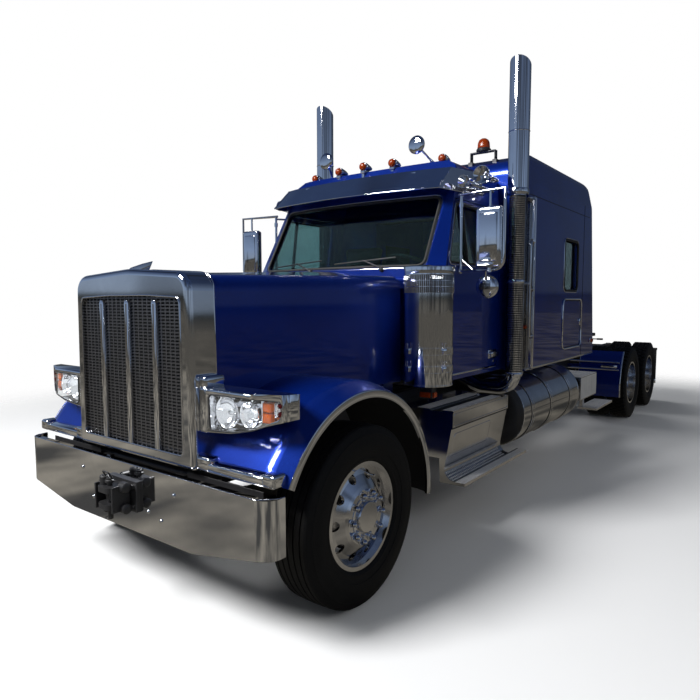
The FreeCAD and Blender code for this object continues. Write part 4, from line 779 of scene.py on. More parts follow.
print("grille")
edges = (-grilleLook["half"],) + grilleLook["bars"] + (grilleLook["half"],)
bays = [slottedBay(start, end, grilleLook) for start, end in zip(edges, edges[1:])]
finish("grilleScreen", "hood", "screen", *bays, standsFor="grille")
bars = []
for x in grilleLook["bars"]:
    bars += [plate([(x + side, -0.729, z) for side, z in grilleLook["bar"]], (0, -0.03, 0), 0.006),
        plate([(x - 0.011, -0.757, 0.956), (x, -0.7615, 0.956), (x + 0.011, -0.757, 0.956)], (0, 0, 0.845)),
        turned(grilleLook["tip"], (x, -0.7445, 1.793), (0, -1, 0.25), steps=20)]
finish("grilleBars", "hood", "chrome", *bars, angle=30)
finish("grilleShroud", "hood", "liner", block((-0.54, -0.603, 0.925), (0.54, -0.598, 1.865), 0.002, 1))
finish("grilleLip", "hood", "chrome", hoop(fromFront(-0.7555, grilleLook["lip"]), 0.0055, 0.035))
ornament = plate(fromSide(-0.007, grilleLook["ornament"]), (0.014, 0, 0), 0.005)
finish("hoodOrnament", "hood", "chrome", ornament, angle=40)
finish("shellSeam", "hood", "chrome", hoop(fromFront(-0.575, grilleLook["seam"]), 0.004, 0.05))

# headlamps

lampLook = {
    "face": -0.708, "turnX": 0.975, "slope": 0.449, "front": -0.8, "floor": -0.612, "bend": 0.028,
    "outline": ((0.678, 1.112), (0.86, 1.122), (1, 1.15), (1.14, 1.212), (1.152, 1.3), (0.98, 1.312),
        (0.672, 1.308)),
    "lens": ((0.655, 0), (0.93, 0), (0.965, 0.0015), (1.005, 0), (1.165, 0)),
    "bowl": ((0, 0.012), (0.004, 0.022), (0.016, 0.05), (0.04, 0.074), (0.052, 0.08), (0.056, 0.086),
        (0.05, 0.088),
        (0, 0.06)),
    "bulb": ((0, 0), (0, 0.014), (0.03, 0.014), (0.04, 0.009), (0.043, 0)),
    "ball": ((0, 0), (0.006, 0.034), (0.02, 0.036), (0.034, 0.026), (0.041, 0.012), (0.043, 0)),
    "dot": ((0, 0), (0, 0.015), (0.01, 0.014), (0.016, 0))}


def lampFace(x):
    return lampLook["face"] + max(0, x - lampLook["turnX"]) * lampLook["slope"]


# the lamp's opening as a solid, to cut with
def lampPrism(look):
    return plate(fromFront(look["front"], look["outline"]), (0, look["floor"] - look["front"], 0), 0,
        look["bend"])


print("headlamps")
housing = boolean(nodeCopy("headlamps"), lampPrism(lampLook), "DIFFERENCE")
nearCutter = lampPrism(lampLook)
housing = boolean(housing, twin(nearCutter), "DIFFERENCE")
bpy.data.objects.remove(nearCutter)
modify(housing, "BEVEL", width=0.004, segments=2, limit_method="ANGLE", angle_limit=math.radians(50))
finish("lampHousings", "hood", "chrome", housing, angle=30, standsFor="headlamps")

lens = drawLine([(x, lampFace(x) + 0.006 + lift, 1.09) for x, lift in lampLook["lens"]])
openEdit(lens)
bpy.ops.mesh.extrude_region_move(TRANSFORM_OT_translate={"value": (0, 0, 0.24)})
closeEdit()
modify(lens, "SOLIDIFY", thickness=0.003, offset=0)
lens = boolean(lens, lampPrism(lampLook), "INTERSECT")
finishBoth("lampLenses", "hood", "clear", lens, angle=30)
gasket = hoop([(x, lampFace(x) + 0.002, z) for x, z in lampLook["outline"]], 0.005, 0.026)
finishBoth("lampGaskets", "hood", "black", gasket)
floorY = lampLook["floor"]
reflectors = [turned([(a * share, r * share) for a, r in lampLook["bowl"]], (x, floorY, z), forward, steps=32)
    for x, z, share in ((0.77, 1.212, 1), (0.928, 1.216, 0.8))]
reflectors.append(block((1, -0.64, 1.176), (1.01, floorY, 1.296), 0.003))
for i in range(6):
    x = 1.088 + 0.01 * i
    reflectors.append(block((x, -0.632, 1.215 + 0.004 * i), (x + 0.006, -0.608, 1.292), 0.002, 1))
for i in range(5):
    z = 1.135 + 0.034 * i
    reflectors.append(block((0.684, -0.64, z), (0.7, floorY, z + 0.022), 0.004, 1))
finishBoth("lampReflectors", "hood", "chrome", *reflectors, angle=40)
bulbs = (turned(lampLook["bulb"], (0.77, floorY, 1.212), forward, steps=20),
    turned(lampLook["ball"], (0.928, floorY, 1.216), forward, steps=28))
finishBoth("lampBulbs", "hood", "clear", *bulbs)
blocks = [block((1.02, -0.65, z), (1.078, floorY, z + 0.048), 0.008) for z in (1.184, 1.24)]
finishBoth("lampAmber", "hood", "orange", *blocks, angle=40)
dots = [turned(lampLook["dot"], (1.128, -0.625, z), forward, steps=16) for z in (1.236, 1.28)]
finishBoth("lampRed", "hood", "red", *dots)
brackets = (block((0.582, -0.704, 1.318), (0.646, -0.56, 1.402), 0.022, 4),
    block((0.59, -0.712, 1.088), (0.655, -0.64, 1.345), 0.018, 4))
finishBoth("lampBrackets", "hood", "chrome", *brackets, angle=40)

# fender trim and the bright ledge at the fender's foot

archLook = {
    "centre": (0, 0.02, 0.53), "start": -4, "sweep": 157,
    "trim": ((1.185, 0.7105), (1.203, 0.7105), (1.205, 0.715), (1.205, 0.75), (1.203, 0.756), (1.199, 0.756),
        (1.2003, 0.75), (1.2003, 0.7135), (1.185, 0.7135)),
    "liner": ((0.56, 0.7885), (1.08, 0.7885), (1.15, 0.764), (1.182, 0.738), (1.18, 0.734), (1.146, 0.76),
        (1.078, 0.7845), (0.56, 0.7845)),
    "ledge": ((-0.7285, 0.882), (-0.7285, 0.929), (-0.7, 0.94), (-0.652, 0.944), (-0.632, 0.9),
        (-0.636, 0.882))}
print("fender trim")
for name, key, finishName in (("archTrim", "trim", "chrome"), ("archLiner", "liner", "liner")):
    finishBoth(name, "hood", finishName,
        swept(archLook[key], archLook["centre"], archLook["start"], archLook["sweep"], 56))
ledge = (plate(fromSide(0.574, archLook["ledge"]), (0.596, 0, 0), 0.007),
    block((0.57, -0.73, 0.88), (0.69, -0.64, 0.962), 0.016, 4),
    block((1.085, -0.7315, 0.879), (1.176, -0.634, 0.951), 0.016, 4))
finishBoth("fenderLedge", "hood", "chrome", *ledge, angle=40)

# bumper and hitch

boltLook = {
    "places": ((-0.476, 0.735), (0.476, 0.735), (-0.354, 0.562), (0.354, 0.562), (-0.23, 0.59), (0.23, 0.59)),
    "shape": ((0, 0.013), (0.003, 0.0125), (0.008, 0.008), (0.01, 0))}
hitchLook = {
    "pin": ((-0.135, 0), (-0.135, 0.0135), (-0.128, 0.0155), (0.086, 0.0155), (0.086, 0.027), (0.098, 0.027),
        (0.103, 0.02), (0.112, 0.02), (0.116, 0.012), (0.118, 0)),
    "handle": ((-0.03, -0.9, 0.772), (0.03, -0.9, 0.772), (0.03, -0.925, 0.815), (-0.03, -0.925, 0.815)),
    "keeper": ((-0.012, -0.9, 0.541), (0.012, -0.9, 0.541), (0.022, -0.93, 0.536), (-0.022, -0.93, 0.536)),
    "nut": ((0, 0.016), (0.012, 0.016), (0.015, 0.012), (0.016, 0)),
    "lobe": ((-0.03, 0), (-0.03, 0.04), (-0.024, 0.048), (0.024, 0.048), (0.03, 0.04), (0.03, 0)),
    "boss": ((-0.03, 0), (-0.03, 0.024), (-0.024, 0.03), (0.024, 0.03), (0.03, 0.024), (0.032, 0.01),
        (0.032, 0)),
    "bosses": (((-0.098, -0.868, 0.726), (0, -1, 0)), ((0.098, -0.868, 0.726), (1, 0, 0)),
        ((0.098, -0.868, 0.6), (1, 0, 0)), ((-0.06, -0.88, 0.585), (0, 0, -1)),
        ((-0.05, -0.9, 0.752), (0, 0, 1)))}
print("bumper and hitch")
bolts = [turned(boltLook["shape"], (x, -0.802, z), forward, steps=14) for x, z in boltLook["places"]]
finish("bumperBolts", "chassis", "chrome", *bolts)
lipLine = ((-1.196, -0.68), (-1.196, -0.706), (-1.118, -0.7985), (1.118, -0.7985), (1.196, -0.706),
    (1.196, -0.68))
finish("bumperLip", "chassis", "chrome", tube([(x, y, 0.839) for x, y in lipLine], 0.0035, 0.045, 2))
hitch = [turned(hitchLook["pin"], (0, -0.9, 0.662), zAxis, steps=24), hoop(hitchLook["handle"], 0.005, 0.012),
    hoop(hitchLook["keeper"], 0.003, 0.01)]
hitch += [turned(hitchLook["nut"], (x, -0.824, 0.662 + z), forward, steps=6) for x in (-0.118, 0.118)
    for z in (-0.062, 0.062)]
hitch += [block((x, -0.944, 0.585), (x + 0.014, -0.83, 0.739)) for x in (-0.094, 0.08)]
hitch.append(turned(hitchLook["lobe"], (0, -0.866, 0.662), steps=24))
hitch += [turned(hitchLook["boss"], place, axis, steps=24) for place, axis in hitchLook["bosses"]]
finish("hitchPin", "chassis", "black", *hitch)

# windshield, wipers and window trims

screenLook = {
    "bow": 1.176, "curve": 8.59, "lean": 0.546, "belt": 2.06, "low": 2.082, "high": 2.642, "halfLow": 0.845,
    "halfHigh": 0.828, "shares": (-1, -0.66, -0.33, 0, 0.33, 0.66, 1)}
wiperLook = {
    "blades": ((-0.7, 2.112, -0.13, 2.15), (0.03, 2.112, 0.6, 2.15)), "pivots": (-0.23, 0.5), "lift": 0.016,
    "shares": (0, 0.25, 0.5, 0.75, 1), "cap": ((0, 0), (0, 0.02), (0.022, 0.018), (0.03, 0.008), (0.031, 0))}
windowLook = {
    "rear": 2.296, "low": 2.108, "high": 2.592, "frontLow": 1.4165, "frontHigh": 1.6438,
    "key": ((0, 0), (0, 0.014), (0.008, 0.013), (0.01, 0))}
visorLook = {
    "side": ((-0.9665, 2.1), (-0.951, 1.712), (-0.889, 1.418)), "half": 0.889, "bow": 0.095,
    "shares": (-0.75, -0.5, -0.25, 0, 0.25, 0.5, 0.75)}


def screenFace(x, z):
    return screenLook["bow"] + x * x / screenLook["curve"] + screenLook["lean"] * (z - screenLook["belt"])


def cabSide(z):
    return 1 - 0.1329 * max(0, z - 2.06)


def screenLoop(grow, lift, look):
    bottom = [(share * (look["halfLow"] + grow), look["low"] - grow) for share in look["shares"]]
    top = [(-share * (look["halfHigh"] + grow), look["high"] + grow) for share in look["shares"]]
    return [(x, screenFace(x, z) - lift, z) for x, z in bottom + top]


def doorWindow(grow, lift, look):
    low, high = look["low"] - grow, look["high"] + grow
    return [(cabSide(low) + lift, look["frontLow"] - grow, low),
        (cabSide(low) + lift, look["rear"] + grow, low),
        (cabSide(high) + lift, look["rear"] + grow, high),
        (cabSide(high) + lift, look["frontHigh"] - grow * 0.6, high)]


def wiper(blade, pivot, look):
    x0, z0, x1, z1 = blade
    line = [(x0 + (x1 - x0) * share, z0 + (z1 - z0) * share) for share in look["shares"]]
    x, z = (x0 + x1) / 2, (z0 + z1) / 2
    arm = [(pivot, screenFace(pivot, 2.06) - 0.012, 2.058),
        (pivot - 0.03, screenFace(pivot, 2.085) - 0.034, 2.08),
        (x, screenFace(x, z) - 0.026, z + 0.004)]
    return [tube([(x, screenFace(x, z) - look["lift"], z) for x, z in line], 0.0055, 0, 2),
        tube(arm, 0.006, 0.02, 2),
        turned(look["cap"], (pivot, screenFace(pivot, 2.06) + 0.006, 2.052), (0, -1, 0.4), steps=16)]


print("windows")
finish("screenGasket", "chassis", "flap", hoop(screenLoop(0.004, 0.001, screenLook), 0.012, 0.058))
finish("screenTrim", "chassis", "chrome", hoop(screenLoop(0.021, 0.003, screenLook), 0.0045, 0.064))
wipers = [part for blade, pivot in zip(wiperLook["blades"], wiperLook["pivots"])
    for part in wiper(blade, pivot, wiperLook)]
finish("wipers", "chassis", "black", *wipers)
gasket = hoop(doorWindow(0, -0.004, windowLook), 0.011, 0.045)
ventBar = block((0.925, 1.752, 2.108), (0.958, 1.772, 2.595))
ventBar.data.transform(about(yAxis, math.radians(-7.6), (0.94, 1.762, 2.35)))
rubber = join([gasket, ventBar])
bright = join([hoop(doorWindow(0.017, 0.001, windowLook), 0.0045, 0.055),
    block((0.998, 2.176, 1.3), (1.034, 2.324, 1.354), 0.014, 4),
    block((0.994, 2.16, 1.288), (1.004, 2.34, 1.366)),
    turned(windowLook["key"], (0.999, 2.27, 1.262), steps=16),
    block((0.996, 1.385, 1.206), (1.004, 2.345, 1.222), 0.003)])
for end, body, dark, shiny in (("1", "door_left", rubber, bright),
        ("-1", "door_right", twin(rubber), twin(bright))):
    finish("doorGasket" + end, body, "flap", dark)
    finish("doorBright" + end, body, "chrome", shiny, angle=40)

half = visorLook["half"]
visorLine = list(visorLook["side"])
visorLine += [(share * half, 1.417 - visorLook["bow"] * (1 - share * share)) for share in visorLook["shares"]]
visorLine += [(-x, y) for x, y in reversed(visorLook["side"])]
visorParts = [tube([(x, y, 2.69 + 0.036 * max(0, (y - 1.712) / 0.39)) for x, y in visorLine], 0.0055, 0, 2)]
visorParts += [tube([(side * half, 1.4155, 2.69), (side * half, 1.6255, 2.882)], 0.0045, 0, 2)
    for side in (-1, 1)]
finish("visorEdge", "chassis", "chrome", *visorParts)

# roof: marker lamps, beacon, horns and round mirrors

roofLook = {
    "lamps": ((-0.706, 1.812, 3.012), (-0.295, 1.664, 3.002), (0, 1.64, 3.006), (0.295, 1.664, 3.002),
        (0.706, 1.812, 3.012)),
    "body": ((0, 0), (0, 0.0355), (0.004, 0.0385), (0.034, 0.038), (0.07, 0.031), (0.105, 0.0215),
        (0.13, 0.0115),
        (0.136, 0)),
    "lens": ((0, 0), (0, 0.0325), (0.006, 0.034), (0.014, 0.0325), (0.022, 0.026), (0.028, 0.014), (0.03, 0)),
    "beacon": (0.6, 2.87, 3.29),
    "dome": ((0.022, 0), (0.022, 0.06), (0.04, 0.0615), (0.085, 0.0575), (0.11, 0.045), (0.124, 0.025),
        (0.13, 0)),
    "base": ((-0.004, 0), (-0.004, 0.07), (0.004, 0.0725), (0.018, 0.0725), (0.024, 0.066), (0.03, 0.0635),
        (0.03, 0)),
    "mirror": ((-0.015, 0), (-0.015, 0.072), (-0.01, 0.0765), (0.002, 0.078), (0.01, 0.071), (0.016, 0.046),
        (0.0185, 0)),
    "foot": ((-0.02, 0), (-0.02, 0.026), (0.012, 0.026), (0.018, 0.014), (0.018, 0))}
hornLook = {
    "places": ((1.005, 1.613, 2.752, 0.05), (1.046, 1.85, 2.84, 0.074)), "end": 2.18,
    "bell": ((0.09, 0), (0.04, 0.42), (0.008, 0.88), (0, 0.96), (0, 1), (0.008, 1), (0.02, 0.9), (0.06, 0.62),
        (0.11, 0.44), (0.18, 0.34)),
    "ring": ((-0.006, 0.012), (-0.006, 0.026), (0.006, 0.026), (0.006, 0.012))}


def horn(x, y, z, mouth, look):
    long, foot = look["end"] - y, look["end"] - 0.018
    profile = [(a, r * mouth) for a, r in look["bell"]] + [(long * 0.6, 0.016), (long, 0.014), (long, 0)]
    parts = [turned(profile, (x, y, z), yAxis, steps=28)]
    parts += [turned(look["ring"], (x, y + along, z), yAxis, steps=20) for along in (0.2, 0.26)]
    parts.append(tube([(cabSide(z) - 0.03, foot, z), (x, foot, z)], 0.014))
    parts.append(block((cabSide(z) - 0.012, foot - 0.032, z - 0.028),
        (cabSide(z) + 0.012, foot + 0.032, z + 0.028), 0.005))
    return parts


print("roof")
bodies, lenses = [], []
for x, y, z in roofLook["lamps"]:
    bodies += [turned(roofLook["body"], (x, y, z), yAxis, steps=24),
        block((x - 0.014, y - 0.002, z - 0.105), (x + 0.014, y + 0.058, z - 0.02)),
        block((x - 0.024, y - 0.012, z - 0.062), (x + 0.024, y + 0.072, z - 0.03), 0.008)]
    lenses.append(turned(roofLook["lens"], (x, y, z), forward, steps=24))
finish("markerBodies", "chassis", "chrome", *bodies, standsFor="marker_lamps")
lenses.append(turned(roofLook["dome"], roofLook["beacon"], zAxis, steps=32))
finish("markerLenses", "chassis", "amber", *lenses)
stand = [turned(roofLook["base"], roofLook["beacon"], zAxis, steps=32),
    block((0.465, 2.84, 3.276), (0.735, 2.9, 3.2885))]
stand += [block((x, 2.842, 3.12), (x + 0.012, 2.898, 3.284)) for x in (0.465, 0.723)]
stand += [block((x, 2.838, 3.15), (x + 0.05, 2.902, 3.196), 0.006) for x in (0.446, 0.704)]
finish("beaconStand", "chassis", "black", *stand)
horns = [part for place in hornLook["places"] for part in horn(*place, hornLook)]
horns += [turned(roofLook["mirror"], (0.5, 1.73, 3.138), forward, steps=40),
    tube([(0.56, 1.9, 2.955), (0.555, 1.885, 3.03), (0.5, 1.752, 3.132)], 0.01, 0.05),
    tube([(0.62, 1.96, 2.96), (0.53, 1.85, 3.065)], 0.007)]
horns += [turned(roofLook["foot"], (x, y, 2.964), zAxis, steps=20) for x, y in ((0.56, 1.9), (0.62, 1.96))]
finishBoth("horns", "chassis", "chrome", *horns, angle=40, standsFor="roof_fittings")

# door mirrors

mirrorLook = {
    "inner": (1.014, 1.565), "outer": (1.407, 1.49), "inset": 0.02, "top": 2.64, "bottom": 2.04,
    "tube": 0.012,
    "mid": (1.288, 1.497), "round": (1.247, 1.549, 1.914),
    "disc": ((-0.02, 0), (-0.02, 0.086), (-0.014, 0.0915), (-0.002, 0.092), (0.008, 0.083), (0.015, 0.056),
        (0.018, 0)),
    "knob": ((-0.018, 0), (-0.018, 0.017), (0.018, 0.017), (0.018, 0)),
    "edge": ((1.194, 2.064), (1.382, 2.064), (1.382, 2.502), (1.194, 2.502))}


def doorMirror(look):
    (x, y), outer, mid, top, bottom = look["inner"], look["outer"], look["mid"], look["top"], look["bottom"]
    loop = [(x - look["inset"], y, top), (*outer, top), (*outer, bottom), (x - look["inset"], y, bottom)]
    parts = [tube(loop, look["tube"], 0.085, 4),
        tube([(x, y, bottom - 0.004), (x, y, top + 0.004)], look["tube"], 0, 4),
        tube([(x, y, bottom + 0.1), (1.14, 1.541, bottom)], 0.007),
        tube([(x, y, 2.616), (cabSide(2.616) - 0.006, 1.712, 2.616)], 0.009),
        block((0.985, 1.545, 2.02), (1.022, 1.585, 2.06), 0.006),
        block((1.184, 1.466, 2.054), (1.392, 1.528, 2.512), 0.02, 5),
        block((1.214, 1.458, 2.1), (1.362, 1.48, 2.466), 0.01, 3)]
    parts += [tube([(*mid, low), (*mid, high)], 0.009) for low, high in ((bottom, 2.07), (2.5, top))]
    parts += [turned(look["disc"], look["round"], forward, steps=44),
        tube([(1.247, 1.524, bottom), (1.247, 1.524, 1.985), (1.247, 1.552, 1.95)], 0.009, 0.03)]
    return parts + [turned(look["knob"], place, zAxis, steps=16)
        for place in ((x, y, 2.15), (x, y, 2.56), (*mid, 2.04))]


print("mirrors")
finishPair("mirrorFrame", "door", "chrome", *doorMirror(mirrorLook), angle=45, standsFor="mirror")
finishPair("mirrorEdge", "door", "black", hoop(fromFront(1.529, mirrorLook["edge"]), 0.004, 0.018))

# air cleaners and stacks

cleanerLook = {
    "x": 1.003, "y": 1.08, "band": 0.17, "face": 0.1812, "screen": (1.862, 1.992), "ribs": 84,
    "hoop": (0.176, 0.1842), "latches": (1.312, 1.442), "turns": (-0.35, 1.15),
    "hoops": ((1.905, 0.003), (1.948, 0.003), (1.284, 0.004), (1.336, 0.004), (1.414, 0.004), (1.466, 0.004),
        (1.188, 0.008)),
    "lid": ((2, 0.185), (2.043, 0.1895), (2.05, 0.188), (2.058, 0.16), (2.064, 0.06), (2.065, 0)),
    "hook": ((-0.01, 0.018), (-0.01, 0.06), (0.01, 0.06), (0.01, 0.018))}
stackLook = {
    "x": 1.12, "y": 2.47, "low": 1.15, "high": 2.745, "pitch": 0.016, "sleeve": (0.06, 0.0712),
    "rung": ((0, 0.0698), (0.0005, 0.0728), (0.0055, 0.0738), (0.0062, 0.0698)),
    "collars": ((2.755, 0.05, 0.06, 0.0955), (1.12, 0.028, 0.05, 0.0755), (1.96, 0.034, 0.06, 0.0745),
        (3.3, 0.01, 0.085, 0.0925)),
    "bolt": ((0, 0), (0, 0.009), (0.012, 0.009), (0.014, 0)),
    "pad": ((0, 0), (0, 0.026), (0.006, 0.024), (0.008, 0))}


# profile of a flat band round an upright or lying axle line
def bandProfile(low, high, inner, outer):
    return ((low, inner), (low, outer), (high, outer), (high, inner))


def cleanerTrim(look):
    x, y, (low, high) = look["x"], look["y"], look["screen"]
    rib = block((x - 0.0018, y - 0.1835, low), (x + 0.0018, y - 0.18, high), 0.0006, 1)
    parts = [spread(rib, [about(zAxis, 2 * math.pi * i / look["ribs"], (x, y, 0))
        for i in range(look["ribs"])])]
    for z, thick in ((low - 0.006, 0.006), (high, 0.006), *look["hoops"]):
        parts.append(turned(bandProfile(z, z + thick, *look["hoop"]), (x, y, 0), zAxis, steps=64))
    parts.append(turned(look["lid"], (x, y, 0), zAxis, steps=64))
    for z in look["latches"]:
        for turn in look["turns"]:
            latch = block((x - 0.017, y - 0.2, z - 0.022), (x + 0.017, y - 0.184, z + 0.022))
            hook = tube([(x + across, y - 0.203, z + up) for across, up in look["hook"]], 0.002, 0.006, 2)
            latch = join([latch, hook])
            latch.data.transform(about(zAxis, turn, (x, y, 0)))
            parts.append(latch)
    return parts


def stackTrim(look):
    x, y, low, high, pitch = (look[key] for key in ("x", "y", "low", "high", "pitch"))
    rung = turned([(low + along, r) for along, r in look["rung"]], (x, y, 0), zAxis, steps=22)
    sleeve = turned(bandProfile(low, high, *look["sleeve"]), (x, y, 0), zAxis, steps=40)
    finishBoth("stackSleeves", "chassis", "black", sleeve)
    parts = [repeated(rung, int((high - low) / pitch), (0, 0, pitch))]
    for z, tall, inner, outer in look["collars"]:
        profile = ((z, inner), (z, outer), (z + 0.006, outer + 0.003), (z + tall - 0.006, outer + 0.003),
            (z + tall, outer), (z + tall, inner))
        parts.append(turned(profile, (x, y, 0), zAxis, steps=40))
    parts += [block((x + a - 0.01, y + b - 0.004, 1.15), (x + a + 0.01, y + b + 0.004, 2.75), 0.002)
        for a, b in ((0.046, 0.058), (-0.046, 0.058))]
    return parts + [turned(look["bolt"], (x + 0.03, 2.395, z), forward, steps=8)
        for z in (1.134, 1.977, 2.78)]


print("air cleaners and stacks")
axisPoint = (cleanerLook["x"], cleanerLook["y"], 0)
band = turned(bandProfile(*cleanerLook["screen"], cleanerLook["band"], cleanerLook["face"]), axisPoint, zAxis,
    steps=72)
finishBoth("cleanerScreens", "chassis", "black", band)
finishBoth("cleanerTrim", "chassis", "chrome", *cleanerTrim(cleanerLook), angle=40)
finishBoth("cleanerLamps", "chassis", "black", block((0.952, 1.04, 1.082), (1.06, 1.1, 1.19), 0.006))
lampLenses = (block((1.058, 1.046, 1.092), (1.074, 1.094, 1.132), 0.005, 3),
    block((0.962, 1.026, 1.092), (1.05, 1.042, 1.132), 0.005, 3))
finishBoth("cleanerLampLens", "chassis", "amber", *lampLenses)
finishBoth("stackTrim", "chassis", "chrome", *stackTrim(stackLook), angle=40)
panelParts = [plate(fromFront(2.588, rectangle(1.09, 1.252, 1.165, 2.745)), (0, 0.01, 0), 0.003, 0.02),
    hoop(fromFront(2.586, rectangle(1.11, 1.24, 1.185, 2.725)), 0.003, 0.02),
    tube(fromSide(1.226, ((2.592, 1.478), (2.54, 1.478), (2.54, 2.342), (2.592, 2.342))), 0.0125, 0.035, 4)]
panelParts += [turned(stackLook["pad"], (1.226, 2.589, z), forward, steps=20) for z in (1.478, 1.91, 2.342)]
panelParts.append(tube([(1.226, 2.592, 1.91), (1.226, 2.54, 1.91)], 0.009))
finishBoth("stackPanels", "chassis", "polished", *panelParts, angle=40)

# steps, boxes and tanks

stepLook = {
    "pitch": 0.026, "front": 1.312, "rear": 2.19, "cove": (1.1212, 0.4949, 0.084),
    "coveAngles": (207, 224, 241, 258),
    "ring": ((-0.0005, 0.0088), (0.0024, 0.0074), (0.0024, 0.006), (0.0002, 0.005)),
    "hole": ((-0.0006, 0), (-0.0006, 0.0052), (0.0008, 0.0052), (0.0008, 0)),
    "rows": (((0.812, 0.838, 0.864, 0.888, 1.034, 1.058, 1.084), 1.312, 0.96, 33),
        ((1.146, 1.168, 1.19), 1.312, 0.41, 46)),
    "rearRows": (((0.985, 1.01, 1.11, 1.135, 1.16), 5.175, 0.416, 29),
        ((0.66, 0.72, 0.9, 0.96, 1.02, 1.08), 4.73, 0.86, 25))}
tankLook = {
    "x": 0.836, "z": 0.715, "front": 2.64, "rear": 4.4, "straps": (2.88, 3.43, 4.08),
    "dome": ((0.004, 0), (0.004, 0.324), (-0.006, 0.326), (-0.016, 0.318), (-0.034, 0.262), (-0.045, 0.16),
        (-0.049, 0)),
    "edge": (0.0045, 0.003, 0.331, 0.3385), "rubber": (0.004, 0.004, 0.329, 0.3338),
    "rim": (0.01, 0.008, 0.329, 0.3335),
    "filler": ((-0.02, 0), (-0.02, 0.052), (0.016, 0.052), (0.018, 0.064), (0.04, 0.066), (0.046, 0.056),
        (0.048, 0))}


# a line of raised rings round punched openings, along the truck; each opening gets a flat black disc as
# painted shade for the dark seen through it
def punched(place, axis, count, rings, holeShades):
    for shape, parts in ((stepLook["ring"], rings), (stepLook["hole"], holeShades)):
        parts.append(repeated(turned(shape, place, axis, steps=8), count, (0, stepLook["pitch"], 0)))


def tankBand(y, look, kind):
    wide, narrow, inner, outer = look[kind]
    profile = ((y - wide, inner), (y - narrow, outer), (y + narrow, outer), (y + wide, inner))
    return turned(profile, (look["x"], 0, look["z"]), yAxis, steps=64)


print("steps and tanks")
rings, holeShades = [], []
for places, y, z, count in stepLook["rows"]:
    for x in places:
        punched((x, y, z), zAxis, count, rings, holeShades)
coveX, coveZ, coveRadius = stepLook["cove"]
for angle in stepLook["coveAngles"]:
    away = Vector((math.cos(math.radians(angle)), 0, math.sin(math.radians(angle))))
    place = (coveX + away.x * coveRadius, stepLook["front"], coveZ + away.z * coveRadius)
    punched(place, -away, 39, rings, holeShades)
for places, y, z, count in stepLook["rearRows"]:
    for x in places:
        punched((x, y, z), zAxis, count, rings, holeShades)
finishBoth("stepTreads", "chassis", "brushed", *rings)
# black discs in the punched openings: painted shade for the dark seen through them
finishBoth("stepHoleShades", "chassis", "black", *holeShades)
plates = [block((0.79, 1.288, 0.958), (0.905, 2.202, 0.9605), 0.001, 1),
    block((1.015, 1.288, 0.958), (1.11, 2.202, 0.9605), 0.001, 1),
    block((1.133, 1.288, 0.4085), (1.2125, 2.592, 0.4108), 0.001, 1),
    block((0.948, 5.148, 0.415), (1.187, 5.952, 0.4168), 0.001, 1),
    block((0.64, 4.692, 0.859), (1.106, 5.398, 0.8608), 0.001, 1)]
plates += [block((1.104, 4.7 + i * 0.233, 0.585), (1.108, 4.925 + i * 0.233, 0.85), 0.0015) for i in range(3)]
stepEdges = (
    hoop([(1.083, 1.36, 0.765), (1.083, 2.05, 0.765), (1.0505, 2.05, 0.585), (1.0505, 1.36, 0.585)], 0.0045,
        0.03),
    hoop([(1.107, 1.312, 0.932), (1.107, 2.36, 0.932), (1.1055, 2.36, 0.838), (1.1055, 1.312, 0.838)], 0.0022,
        0.012))
finishBoth("stepPlates", "chassis", "brushed", *plates)
finishBoth("stepEdges", "chassis", "polished", *stepEdges, angle=40)
# Thin black strips in the gaps between the step plates: painted shade for the dark in the gaps.
gapShades = (block((1.1195, 1.292, 0.4095), (1.13, 2.585, 0.4122), 0.001, 1),
    block((1.0945, 1.292, 0.8155), (1.105, 2.378, 0.8215), 0.001, 1),
    block((0.915, 1.292, 0.944), (1.005, 2.2, 0.9475), 0.001, 1))
finishBoth("stepGapShades", "chassis", "black", *gapShades)

tankX, tankZ = tankLook["x"], tankLook["z"]
# The front domes take the black finish as painted shade for the tanks' shaded front ends, which are polished
# like the rest; the rubber bands beside the straps are really black.
shadedFrontDome = turned(tankLook["dome"], (tankX, tankLook["front"], tankZ), yAxis, steps=56)
straps = [tankBand(place + side, tankLook, "edge") for place in tankLook["straps"]
    for side in (-0.029, 0.029)]
rubber = [tankBand(place + side, tankLook, "rubber") for place in tankLook["straps"]
    for side in (-0.036, 0.036)]
finishBoth("tankShadedFrontsAndRubber", "chassis", "black", shadedFrontDome, *rubber)
straps.append(turned([(-a, r) for a, r in tankLook["dome"]], (tankX, tankLook["rear"], tankZ), yAxis,
    steps=56))
straps += [tankBand(y, tankLook, "rim") for y in (tankLook["front"] + 0.012, tankLook["rear"] - 0.012)]
straps += [turned(tankLook["filler"], (tankX + 0.06, 3.12, tankZ + 0.324), zAxis, steps=36),
    block((tankX + 0.052, 3.06, tankZ + 0.37), (tankX + 0.068, 3.18, tankZ + 0.38))]
finishBoth("tankStraps", "chassis", "polished", *straps, angle=40)

# sleeper

sleeperLook = {
    "window": (3.7, 4.18, 1.915, 2.455), "trim": (3.682, 4.198, 1.897, 2.473),
    "hatch": (3.68, 4.36, 1.28, 1.82),
    "ditch": (3.696, 4.344, 1.296, 1.804), "skin": 1.1695}
print("sleeper")
skin = sleeperLook["skin"]
